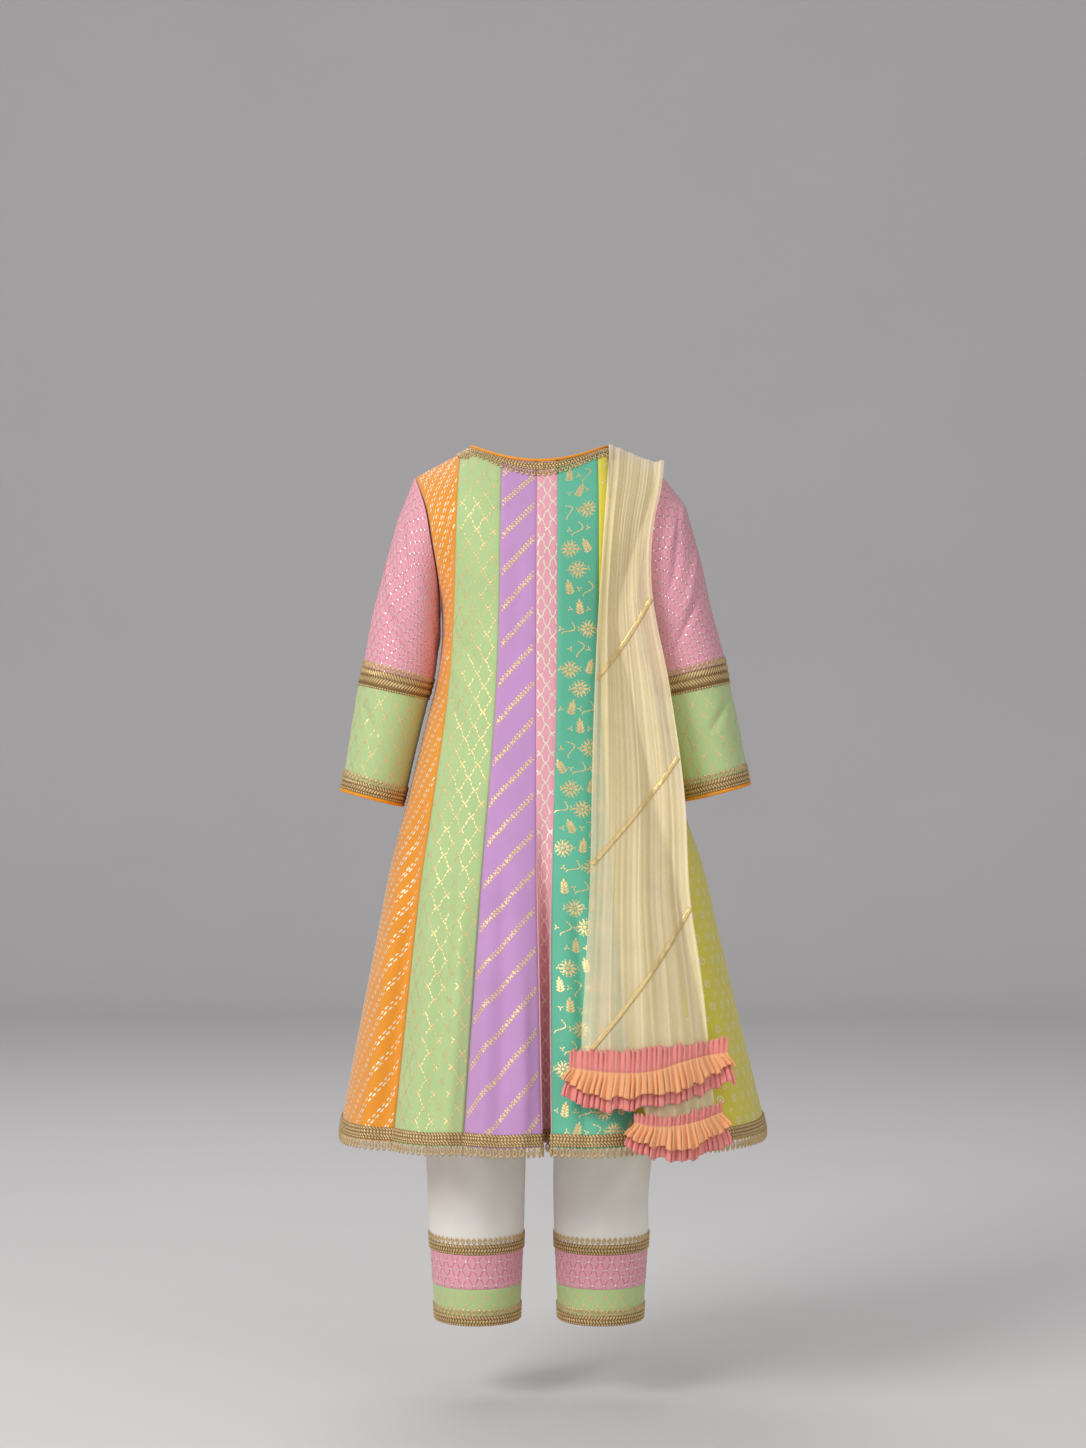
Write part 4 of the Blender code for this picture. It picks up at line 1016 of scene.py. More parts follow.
def lattice(width, length, cell, bow, dashes):
    """Dash centres, dash angles and crossings of a net of diamonds.

    From a crossing the net runs to (+-w/2, h/2), across by w/2 (t + b sin(2 pi t) / 2 pi).
    """
    wide, tall = cell
    reach = int(width / wide)
    i, j = np.meshgrid(np.arange(-reach - 2, reach + 3), np.arange(-1, int(2 * length / tall) + 2))
    even = (i + j) % 2 == 0
    crossings = np.stack([i[even] * wide / 2.0, j[even] * tall / 2.0], axis=1)
    t = (np.arange(dashes) + 0.5) / dashes
    run = t + bow * np.sin(2.0 * np.pi * t) / (2.0 * np.pi)
    slope = 1.0 + bow * np.cos(2.0 * np.pi * t)
    places, angles = [], []
    for sign in (1.0, -1.0):
        offsets = np.stack([sign * wide / 2.0 * run, tall / 2.0 * t], axis=1)
        places.append((crossings[:, None] + offsets[None]).reshape(-1, 2))
        angles.append(np.tile(np.arctan2(tall, sign * wide * slope), len(crossings)))
    return np.concatenate(places), np.concatenate(angles), crossings


def slanted_rows(patch, pitch, growth, slope, step, offsets):
    """Marks along slanted rows: down = k p + k^2 g + offset - slope across."""
    count = int(2.4 * patch.length / pitch)
    k = np.arange(-int(count / 3), count)
    starts = k * pitch + np.sign(k) * growth * k ** 2
    starts = (starts[:, None] + np.array(offsets)[None, :]).reshape(-1)
    across = np.arange(-patch.width / 2.0, patch.width / 2.0, step / np.hypot(1.0, slope))
    down = starts[:, None] - slope * across[None, :]
    places = np.stack([across[None, :] + 0.0 * down, down], axis=-1).reshape(-1, 2)
    return places, np.full(len(places), np.arctan2(-slope, 1.0))


def motif_group(places, angles, parts):
    """Places and angles of a motif's parts, each part (a, b, q) turned with its motif."""
    parts = np.array(parts)
    cos, sin = np.cos(angles)[:, None], np.sin(angles)[:, None]
    across = places[:, :1] + parts[:, 0] * cos - parts[:, 1] * sin
    down = places[:, 1:] + parts[:, 0] * sin + parts[:, 1] * cos
    turn = angles[:, None] + parts[:, 2]
    return np.stack([across, down], axis=-1).reshape(-1, 2), turn.reshape(-1)


# Blender objects

def grid_faces(rows, columns, wrap):
    """Quads of a grid as an array."""
    cells = columns if wrap else columns - 1
    row, column = np.meshgrid(np.arange(rows - 1), np.arange(cells), indexing="ij")
    here = row * columns + column
    right = row * columns + (column + 1) % columns
    return np.stack([here, right, right + columns, here + columns], axis=-1).reshape(-1, 4)


def add_piece(name, points, faces, material, nodes=()):
    """A smooth mesh object that rides on the set's body and may stand for CAD nodes."""
    mesh = bpy.data.meshes.new(name)
    if isinstance(faces, list):
        faces = [face for part in faces for face in np.asarray(part).tolist()]
    else:
        faces = faces.tolist()
    mesh.from_pydata(np.asarray(points, dtype=float).tolist(), [], faces)
    mesh.shade_smooth()
    mesh.materials.append(material)
    piece = bpy.data.objects.new(name, mesh)
    bpy.context.scene.collection.objects.link(piece)
    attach(piece, "root")
    if nodes:
        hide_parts(*nodes)
    return piece


def add_cloth(name, patch, material, thickness, nodes=()):
    """A patch as an object, with its lengths in metres as its UV map and its wall."""
    points = patch.points
    rows, columns = points.shape[:2]
    share = np.linspace(-0.5, 0.5, columns)
    along = np.repeat(-patch.downs[:, None], columns, axis=1)
    uv = np.stack([share[None, :] * patch.widths[:, None], along], axis=-1)
    faces = grid_faces(rows, columns, False)
    if patch.turn < 0:
        faces = faces[:, ::-1]
    piece = add_piece(name, points.reshape(-1, 3), faces, material, nodes)
    layer = piece.data.uv_layers.new(name="Cloth")
    layer.uv.foreach_set("vector", uv.reshape(-1, 2)[faces.reshape(-1)].ravel())
    if patch.wrap:
        weld = piece.modifiers.new("Join", "WELD")
        weld.merge_threshold = 0.00002
    if thickness:
        wall = piece.modifiers.new("Wall", "SOLIDIFY")
        wall.thickness = thickness
        wall.offset = 0.0
    return piece


def add_motifs(name, parts, material):
    """Several sets of stamped motifs as one object."""
    start = 0
    points, faces = [], []
    for spots, cells in parts:
        points.append(spots)
        faces.append(cells + start)
        start += len(spots)
    return add_piece(name, np.concatenate(points), faces, material)


def add_tube(name, path, radius, material, nodes=(), sides=10):
    """A closed round tube: path + r (cos q across + sin q up) with a slight twist in its surface."""
    ahead = np.roll(path, -1, axis=0) - np.roll(path, 1, axis=0)
    along = unit(ahead)
    across = unit(np.cross(along, [0.0, 0.0, 1.0]))
    up = np.cross(across, along)
    turns = np.arange(sides) * 2.0 * np.pi / sides
    steps = np.linalg.norm(np.roll(path, -1, axis=0) - path, axis=1)
    reach = np.concatenate([[0.0], np.cumsum(steps)[:-1]])[:, None]
    size = radius * (1.0 + 0.05 * np.sin(reach / 0.0006 + turns[None, :]))
    ring = np.cos(turns)[None, :, None] * across[:, None] + np.sin(turns)[None, :, None] * up[:, None]
    points = path[:, None] + ring * size[..., None]
    count = len(path)
    faces = grid_faces(count + 1, sides, True)
    faces = faces % (count * sides)
    return add_piece(name, points.reshape(-1, 3), faces, material, nodes)


# Materials

def add_node(tree, kind, values=None, links=None, **settings):
    """A node with its settings, the values of its sockets and the sockets linked into it."""
    node = tree.nodes.new(kind)
    for key, value in settings.items():
        setattr(node, key, value)
    for key, value in (values or {}).items():
        node.inputs[key].default_value = value
    for key, source in (links or {}).items():
        tree.links.new(source, node.inputs[key])
    return node


def new_material(name, **values):
    """A Principled material and its tree, shader and output sockets set by name."""
    material = bpy.data.materials.new(name)
    material.use_nodes = True
    tree = material.node_tree
    shader = tree.nodes["Principled BSDF"]
    for key, value in values.items():
        shader.inputs[key.replace("_", " ")].default_value = value
    return material, tree, shader


def mottled(tree, colour, amount, scale, coordinates):
    """A colour made lighter and darker in soft patches."""
    noise = add_node(tree, "ShaderNodeTexNoise", {"Scale": scale, "Detail": 4.0}, {"Vector": coordinates})
    dark = tuple(part * (1.0 - amount) for part in colour) + (1.0,)
    light = tuple(min(1.0, part * (1.0 + amount)) for part in colour) + (1.0,)
    mix = add_node(tree, "ShaderNodeMix", {6: dark, 7: light}, {0: noise.outputs["Fac"]}, data_type="RGBA")
    return mix.outputs[2]


def woven(name, colour, yarn, roughness, sheen=0.35, mottle=0.07):
    """Woven cloth: two sets of yarn bands along the cloth's own UV map, as fine relief and as painted shade
    and highlight.
    """
    # Yarn gives the eye a matt face with a fine grid, painted darker between the yarns and lighter on them
    # as shade and highlight, and a soft, uneven tone. A cotton yarn is about 0.3 mm wide, and it is drawn at
    # 0.5 or 0.7 mm so that it shows in the render
    material, tree, shader = new_material(name, Roughness=roughness, Sheen_Weight=sheen, Sheen_Roughness=0.5)
    uv = add_node(tree, "ShaderNodeUVMap", uv_map="Cloth").outputs["UV"]
    where = add_node(tree, "ShaderNodeTexCoord").outputs["Object"]
    waves = [
        add_node(tree, "ShaderNodeTexWave", {"Scale": 0.314 / yarn, "Distortion": 0.6, "Detail": 1.0},
                 {"Vector": uv}, bands_direction=axis).outputs["Fac"]
        for axis in ("X", "Y")
    ]
    weave = add_node(tree, "ShaderNodeMath", None, {0: waves[0], 1: waves[1]}, operation="MAXIMUM")
    weave = weave.outputs[0]
    base = mottled(tree, colour, mottle, 26.0, where)
    # Painted shade and highlight of the weave: 0.93 of the colour between the yarns, 1.04 on them
    shade = add_node(tree, "ShaderNodeMapRange", {"To Min": 0.93, "To Max": 1.04}, {"Value": weave})
    shade = shade.outputs[0]
    tone = add_node(tree, "ShaderNodeVectorMath", None, {0: base, 1: shade}, operation="MULTIPLY").outputs[0]
    tree.links.new(tone, shader.inputs["Base Color"])
    slub = add_node(tree, "ShaderNodeTexNoise", {"Scale": 420.0, "Detail": 3.0}, {"Vector": where})
    slub = slub.outputs["Fac"]
    height = add_node(tree, "ShaderNodeMath", None, {0: weave, 1: slub}, operation="ADD").outputs[0]
    bump = add_node(tree, "ShaderNodeBump", {"Strength": 0.35, "Distance": 0.00025}, {"Height": height})
    tree.links.new(bump.outputs[0], shader.inputs["Normal"])
    return material


def netting(name, colour, alpha, mesh_size):
    """Sheer net: a fine grid of threads along the cloth's UV map sets how much shows through."""
    # Net gives the eye a veil: the cloth behind shows between threads about 1 mm apart, and
    # less of it where the net folds over itself
    material, tree, shader = new_material(name, Roughness=0.85, Sheen_Weight=0.25)
    uv = add_node(tree, "ShaderNodeUVMap", uv_map="Cloth").outputs["UV"]
    where = add_node(tree, "ShaderNodeTexCoord").outputs["Object"]
    tree.links.new(mottled(tree, colour, 0.05, 18.0, where), shader.inputs["Base Color"])
    cells = add_node(tree, "ShaderNodeTexVoronoi", {"Scale": 1.0 / mesh_size}, {"Vector": uv},
                     feature="DISTANCE_TO_EDGE").outputs["Distance"]
    shown = {"From Max": 0.35, "To Min": min(1.0, alpha + 0.10), "To Max": alpha - 0.08}
    thread = add_node(tree, "ShaderNodeMapRange", shown, {"Value": cells}).outputs[0]
    cloud = add_node(tree, "ShaderNodeTexNoise", {"Scale": 30.0, "Detail": 2.0}, {"Vector": where})
    cloud = cloud.outputs["Fac"]
    drift = add_node(tree, "ShaderNodeMapRange", {"To Min": -0.08, "To Max": 0.08}, {"Value": cloud})
    drift = drift.outputs[0]
    see = add_node(tree, "ShaderNodeMath", None, {0: thread, 1: drift}, operation="ADD").outputs[0]
    fold = add_node(tree, "ShaderNodeAttribute", attribute_name="fold").outputs["Fac"]
    see = add_node(tree, "ShaderNodeMath", {1: 0.34}, {0: fold, 2: see},
                   operation="MULTIPLY_ADD", use_clamp=True)
    tree.links.new(see.outputs[0], shader.inputs["Alpha"])
    return material


def metallic(name, colour, roughness, metal):
    """Foil, metal thread or sequins, uneven in tone and shine."""
    # A worn metal skin gives the eye small glints beside duller spots, from bumps of a few mm
    material, tree, shader = new_material(name, Metallic=metal)
    where = add_node(tree, "ShaderNodeTexCoord").outputs["Object"]
    tree.links.new(mottled(tree, colour, 0.22, 160.0, where), shader.inputs["Base Color"])
    noise = add_node(tree, "ShaderNodeTexNoise", {"Scale": 300.0, "Detail": 2.0}, {"Vector": where})
    noise = noise.outputs["Fac"]
    rough = add_node(tree, "ShaderNodeMapRange", {"To Min": roughness - 0.12, "To Max": roughness + 0.15},
                     {"Value": noise}).outputs[0]
    tree.links.new(rough, shader.inputs["Roughness"])
    bump = add_node(tree, "ShaderNodeBump", {"Strength": 0.4, "Distance": 0.0003}, {"Height": noise})
    tree.links.new(bump.outputs[0], shader.inputs["Normal"])
    return material


def finish(name):
    """The material of that name, made once."""
    if name in bpy.data.materials:
        return bpy.data.materials[name]
    colours = bpy.context.scene.anarkali_colours
    # Foil pressed on cloth: thin, bright where it faces the light, dulled by the weave under it
    if name in ("Gold foil", "Rose gold ribbon"):
        return metallic(name, tuple(colours.gold), 0.38, 0.40)
    # Metal-wrapped thread: bright on the back of each stitch, dark between stitches
    if name == "Gold lace":
        return metallic(name, tuple(colours.lace), 0.42, 0.45)
    # The lace's woven ground: the same thread lying flat, duller than the stitches, and its colour darkened
    # as painted shade between them
    if name == "Lace ground":
        return metallic(name, tuple(colours.ground), 0.6, 0.2)
    # Pressed plastic sequins with a metal coat: flat, each with a sharp glint of its own
    if name == "Silver sequins":
        return metallic(name, tuple(colours.silver), 0.25, 0.6)
    # Pigment print with a little foil: pale and opaque, with a faint shine
    if name == "Cream print":
        return metallic(name, tuple(colours.cream), 0.45, 0.25)
    # Viscose embroidery thread: a darker raised line with a low shine
    if name == "Dark pink thread":
        return metallic(name, tuple(colours.dark_pink), 0.5, 0.1)
    # Soft nylon net in one layer: the panels' colours show through it
    if name == "Cream net":
        return netting(name, tuple(colours.net), 0.55, 0.0011)
    # Stiffer nylon net, gathered: layer over layer, so that little shows through
    if name == "Pink net":
        return netting(name, tuple(colours.rose), 0.86, 0.0010)
    if name == "Peach net":
        return netting(name, tuple(colours.peach), 0.93, 0.0010)
    # Art-silk brocade: finer yarn and a smoother face than the cottons, with a soft shine
    if name == "Teal brocade":
        return woven(name, tuple(colours.teal), 0.0005, 0.55, 0.2)
    # Bias-cut cotton satin over a cord, no metal in it: smooth and even, with a broad shine
    if name == "Orange piping":
        return metallic(name, tuple(colours.piping), 0.55, 0.0)
    # Plain-woven cotton: matt and soft, with its yarn just visible
    key = name.split()[0].lower()
    return woven(name, tuple(getattr(colours, key)), 0.0007, 0.82)


# Gold work of each panel

def lattice_marks(patch, cell, bow, dashes, seed, margin=0.003):
    """Dashes and knots of a diamond net on a patch."""
    places, angles, knots = lattice(patch.width, patch.length, cell, bow, dashes)
    keep = patch.inside(places, margin)
    places, angles = places[keep], angles[keep]
    knots = knots[patch.inside(knots, margin)]
    rng = np.random.default_rng(seed)
    places = places + rng.normal(0.0, 0.00018, places.shape)
    shown = rng.random(len(places)) > 0.04
    return places[shown], angles[shown], knots, rng.uniform(0.8, 1.15, shown.sum())


def mark_lift(sizes):
    """Height of a motif's rim above the middle of the cloth."""
    return sizes.cloth / 2.0 + 0.00006


def green_marks(patch, sizes, seed):
    """Gold dashes in an ogee net, with a glinting knot at each crossing."""
    places, angles, knots, grow = lattice_marks(patch, (0.018, 0.027), 0.55, 3, seed)
    lift = mark_lift(sizes)
    dash = dash_outline(sizes.dash_long * 0.86, sizes.dash_wide * 0.62)
    knot = round_outline(sizes.bead * 1.05, 6)
    return [
        stamp(patch, dash, places, angles, lift, 0.00025, grow),
        stamp(patch, knot, knots, 0.0, lift, 0.0005),
    ]


def orange_marks(patch, sizes, seed):
    """Pairs of slanted rows of pale dashes."""
    places, angles = slanted_rows(patch, 0.0205, 0.00019, 1.73, 0.0066, (0.0, 0.0062))
    keep = patch.inside(places, 0.003)
    rng = np.random.default_rng(seed)
    places = places[keep] + rng.normal(0.0, 0.0002, (keep.sum(), 2))
    dash = dash_outline(sizes.dash_long, sizes.dash_wide * 0.8)
    grow = rng.uniform(0.75, 1.1, len(places))
    return [stamp(patch, dash, places, angles[keep], mark_lift(sizes), 0.0003, grow)]


def purple_marks(patch, sizes, seed):
    """Pairs of slanted rows of gold beads, a row of small dashes beside each."""
    rng = np.random.default_rng(seed)
    lift = mark_lift(sizes)
    beads = slanted_rows(patch, 0.0345, 0.00032, 1.12, 0.0036, (0.0, 0.0048))[0]
    beads = beads[patch.inside(beads, 0.0025)]
    dashes, angles = slanted_rows(patch, 0.0345, 0.00032, 1.12, 0.0058, (0.0024,))
    keep = patch.inside(dashes, 0.003)
    bead = round_outline(sizes.bead, 6)
    dash = dash_outline(sizes.dash_long * 0.9, sizes.dash_wide * 0.6)
    return [
        stamp(patch, bead, beads, 0.0, lift, 0.0007, rng.uniform(0.7, 1.1, len(beads))),
        stamp(patch, dash, dashes[keep], angles[keep], lift, 0.0003),
    ]


def pink_marks(patch, sizes, seed):
    """A fine net of scales in cream."""
    places, angles, knots, grow = lattice_marks(patch, (0.012, 0.020), 0.8, 4, seed, 0.0018)
    lift = mark_lift(sizes)
    dash = dash_outline(sizes.dash_long * 0.72, sizes.dash_wide * 0.6)
    return [
        stamp(patch, dash, places, angles, lift, 0.0002, grow),
        stamp(patch, round_outline(sizes.bead * 0.7, 6), knots, 0.0, lift, 0.0004),
    ]


def teal_marks(patch, sizes, seed):
    """Woven flowers, sprigs and curls in gold, staggered down the brocade."""
    rng = np.random.default_rng(seed)
    lift = mark_lift(sizes)
    wide, tall = 0.0195, 0.0205
    i, j = np.meshgrid(np.arange(-5, 6), np.arange(0, int(patch.length / tall) + 2))
    places = np.stack([(i + 0.5 * (j % 2)) * wide, j * tall + 0.008], axis=-1).reshape(-1, 2)
    places = places + rng.uniform(-0.0012, 0.0012, places.shape)
    kind = ((i + 2 * j) % 3).reshape(-1)
    keep = patch.inside(places, 0.0065)
    places, kind = places[keep], kind[keep]
    turns = np.arange(10) * 2.0 * np.pi / 10.0
    flower = [(0.0022 * np.cos(q), 0.0022 * np.sin(q), q) for q in turns]
    ring = [(0.0085 * np.cos(q), 0.0085 * np.sin(q), 0.0) for q in np.arange(14) * 2.0 * np.pi / 14.0]
    sprig = [
        (0.0, 0.0052 - 0.0026 * k, -np.pi / 2.0 + side * (0.95 - 0.12 * k))
        for k in range(4) for side in (-1, 1)
    ]
    sprig.append((0.0, -0.0052, -np.pi / 2.0))
    curl = [
        (0.0048 * np.sin(q), 0.0030 * q - 0.007, np.arctan2(0.0030, 0.0048 * np.cos(q)))
        for q in np.linspace(0.0, 4.7, 9)
    ]
    leaf = leaf_outline(0.0056, 0.0024)
    parts = []
    for number, (outline, layout) in enumerate(((leaf_outline(0.0062, 0.0025), flower), (leaf, sprig),
                                               (dash_outline(0.0030, 0.0012), curl))):
        here = places[kind == number]
        angles = rng.uniform(-0.5, 0.5, len(here))
        spots, turned = motif_group(here, angles, layout)
        parts.append(stamp(patch, outline, spots, turned, lift, 0.00025))
    flowers = places[kind == 0]
    spots, turned = motif_group(flowers, np.zeros(len(flowers)), ring)
    keep = patch.inside(spots, 0.0015)
    parts.append(stamp(patch, round_outline(0.0008, 6), spots[keep], 0.0, lift, 0.0002))
    parts.append(stamp(patch, round_outline(0.0019, 8), flowers, 0.0, lift + 0.0002, 0.0004))
    between = np.stack([(i + 0.5 * ((j + 1) % 2)) * wide, j * tall + 0.008], axis=-1).reshape(-1, 2)
    between = between[patch.inside(between, 0.003)]
    trefoil = [(0.0, 0.0, 0.0), (0.0, 0.0, 2.1), (0.0, 0.0, 4.2)]
    spots, turned = motif_group(between, rng.uniform(0.0, 3.0, len(between)), trefoil)
    parts.append(stamp(patch, leaf_outline(0.0034, 0.0014), spots, turned, lift, 0.0002))
    return parts


def yellow_marks(patch, sizes, seed):
    """Open cream diamonds with a dot, and short bars between them."""
    rng = np.random.default_rng(seed)
    lift = mark_lift(sizes)
    pitch = 0.0190
    i, j = np.meshgrid(np.arange(-12, 13), np.arange(0, int(patch.length / pitch * 2) + 2))
    places = np.stack([(i + 0.5 * (j % 2)) * pitch, j * pitch * 0.62 + 0.006], axis=-1).reshape(-1, 2)
    even = (j % 2 == 0).reshape(-1)
    keep = patch.inside(places, 0.0055)
    big, small = places[keep & even], places[keep & ~even]
    side = 0.0023
    frame_bars = [(side * a, side * b, q) for a, b, q in (
        (1, 1, -np.pi / 4.0), (-1, -1, -np.pi / 4.0), (1, -1, np.pi / 4.0), (-1, 1, np.pi / 4.0))]
    spots, turned = motif_group(big, np.zeros(len(big)), frame_bars)
    pair = [(0.0, -0.0016, 0.0), (0.0, 0.0016, 0.0)]
    bars, bar_turned = motif_group(small, rng.uniform(0.6, 1.0, len(small)), pair)
    return [
        stamp(patch, dash_outline(0.0052, 0.0012), spots, turned, lift, 0.0002),
        stamp(patch, round_outline(0.0011, 6), big, 0.0, lift, 0.0003),
        stamp(patch, dash_outline(0.0042, 0.0011), bars, bar_turned, lift, 0.0002),
    ]


PANEL_WORK = {
    "orange": ("Orange cotton", "orange_cotton", orange_marks, "Cream print"),
    "green": ("Green cotton", "green_cotton", green_marks, "Gold foil"),
    "purple": ("Purple cotton", "purple_cotton", purple_marks, "Gold foil"),
    "pink": ("Pink cotton", "pink_cotton", pink_marks, "Cream print"),
    "teal": ("Teal brocade", "teal_brocade", teal_marks, "Gold foil"),
    "yellow": ("Yellow cotton", "yellow_cotton", yellow_marks, "Cream print"),
}


# Lace

def lace_band(patch, top, bottom, lift):
    """The ground of a lace between two distances down a patch, with a fine ribbed relief."""
    width = patch.widths[0]
    count = int(width / 0.0022)
    share = np.linspace(-0.5, 0.5, count)[None, :]
    down = np.linspace(top, bottom, 5)[:, None]
    here = np.interp(down, patch.downs, patch.widths)
    across = share * here * 0.99999
    rib = 0.00022 * np.cos(np.pi * np.arange(count))[None, :] * np.sin(np.pi * (down - top) / (bottom - top))
    return Patch(patch.place(across, down + 0.0 * across, lift + rib), patch.turn, patch.wrap)


def plait_marks(patch, top, bottom, cords, lift):
    """Cords of slanted stitches side by side, each leaning against the next, with beads along the foot."""
    tall = (bottom - top) / (cords + 0.6)
    pitch = 0.0034
    parts = []
    stitch = leaf_outline(tall * 1.22, 0.0021)
    stitch = stitch - stitch.mean(axis=0)
    for cord in range(cords):
        down = top + tall * (cord + 0.5)
        width = float(np.interp(down, patch.downs, patch.widths))
        count = int(round(width / pitch))
        across = ((np.arange(count) + 0.5 * (cord % 2)) / count - 0.5) * width
        places = np.stack([across, np.full(count, down)], axis=1)
        lean = 0.95 if cord % 2 == 0 else np.pi - 0.95
        parts.append(stamp(patch, stitch, places, lean, lift, 0.0011))
    down = bottom - 0.0011
    width = float(np.interp(down, patch.downs, patch.widths))
    count = int(round(width / 0.0030))
    places = np.stack([(np.arange(count) / count - 0.5) * width, np.full(count, down)], axis=1)
    parts.append(stamp(patch, round_outline(0.0011, 6), places, 0.0, lift, 0.0010))
    return parts


def lace_drops(patch, down, long, wide, pitch, lift, upward=False):
    """A row of looped drops along a patch, each with a bead in its loop."""
    width = float(np.interp(down, patch.downs, patch.widths))
    count = int(round(width / pitch))
    across = (np.arange(count) / count - 0.5) * width + 0.5 * width / count
    places = np.stack([across, np.full(count, down)], axis=1)
    angle = np.pi if upward else 0.0
    beads = places + [0.0, (-1.0 if upward else 1.0) * long * 0.56]
    outline = drop_outline(long, wide)
    return [
        stamp_loops(patch, outline, places, angle, lift, 0.0010, 0.42),
        stamp(patch, round_outline(wide * 0.13, 6), beads, 0.0, lift + 0.0001, 0.0007),
    ]


def add_lace(name, patch, top, bottom, cords, drop_at, drop, lift, node,
             upward=False, pitch=DROP_PITCH):
    """A lace along a patch: its ground built as cloth, the plait and the looped drops beside it."""
    gold = finish("Gold lace")
    band = lace_band(patch, top, bottom, lift)
    # The ground's dark colour is painted shade between the stitches of the plait
    piece = add_cloth(name, band, finish("Lace ground"), 0.0005, (node,))
    stitches = plait_marks(patch, top, bottom, cords, lift + 0.0003)
    plait = add_motifs(f"{name}_plait", stitches, gold)
    loops = lace_drops(patch, drop_at, drop, pitch * 0.84, pitch, lift, upward)
    drops = add_motifs(f"{name}_drops", loops, gold)
    if not upward:
        wall = drops.modifiers.new("Wall", "SOLIDIFY")
        wall.thickness = 0.0004
        wall.offset = 0.0


# Operators

class ANARKALI_OT_kurta(bpy.types.Operator):
    """Add the twelve kurta panels with the gold work on them"""
    bl_idname = "anarkali.kurta"
    bl_label = "Kurta panels"

    def execute(self, context):
        """Build each panel and stamp its motifs."""
        sizes = context.scene.anarkali_sizes
        for seed, (name, patch) in enumerate(kurta_patches(sizes).items()):
            cloth, slot, marks, gold = PANEL_WORK[name.split("_")[1]]
            piece = add_cloth(f"{name}_panel", patch, finish(cloth), sizes.cloth, (name,))
            work = add_motifs(f"{name}_work", marks(patch, sizes, sizes.seed + seed), finish(gold))
        return {"FINISHED"}


class ANARKALI_OT_neck(bpy.types.Operator):
    """Add the neck lace, the orange piping and the hook of the back opening"""
    bl_idname = "anarkali.neck"
    bl_label = "Neck trims"

    def execute(self, context):
        """Lay the trims round the neckline."""
        sizes = context.scene.anarkali_sizes
        patch = neck_patch()
        lift = sizes.cloth / 2.0 + 0.0004
        inner, outer = NECK_LACE_REACH
        add_lace("neck_lace_braid", patch, inner, outer, 2, outer - 0.0004, 0.0088, lift, "neck_lace",
                 pitch=NECK_DROP_PITCH)
        edge = neck_ring(0.0, np.arange(360) * 2.0 * np.pi / 360.0)
        lean = unit(unit(edge * [-1.0, -1.0, 0.0]) + [0.0, 0.0, 1.0])
        add_tube("neck_piping_cord", edge + lean * PIPING_STAND, PIPING_RADIUS, finish("Orange piping"),
                 ("neck_piping",))
        self.add_hook(patch, lift)
        return {"FINISHED"}

    def add_hook(self, patch, lift):
        """A small oval wire loop for the hook, laid over the lace at the back seam."""
        turns = np.linspace(0.0, 2.0 * np.pi, 24, endpoint=False)
        middle = patch.place(np.full(3, -0.002), np.array([0.004, 0.008, 0.012]), lift + 0.0022)
        across = np.array([1.0, 0.0, 0.0])
        fall = unit(middle[2] - middle[0])
        loop = middle[1] + 0.0017 * np.cos(turns)[:, None] * across + 0.0032 * np.sin(turns)[:, None] * fall
        add_tube("back_hook_wire", loop, 0.0005, finish("Gold foil"), ("back_hook",), sides=8)


class ANARKALI_OT_hem(bpy.types.Operator):
    """Add the gold lace round the hem with its hanging drops"""
    bl_idname = "anarkali.hem"
    bl_label = "Hem lace"

    def execute(self, context):
        """Lay the lace on the panels' lower edge."""
        sizes = context.scene.anarkali_sizes
        patch = hem_patch(kurta_patches(sizes))
        lift = sizes.cloth / 2.0 + 0.0004
        add_lace("hem_lace_braid", patch, 0.0002, HEM_LACE_HEIGHT - 0.0008, 3, HEM_LACE_HEIGHT - 0.0015,
                 HEM_DROP, lift, "hem_lace")
        return {"FINISHED"}


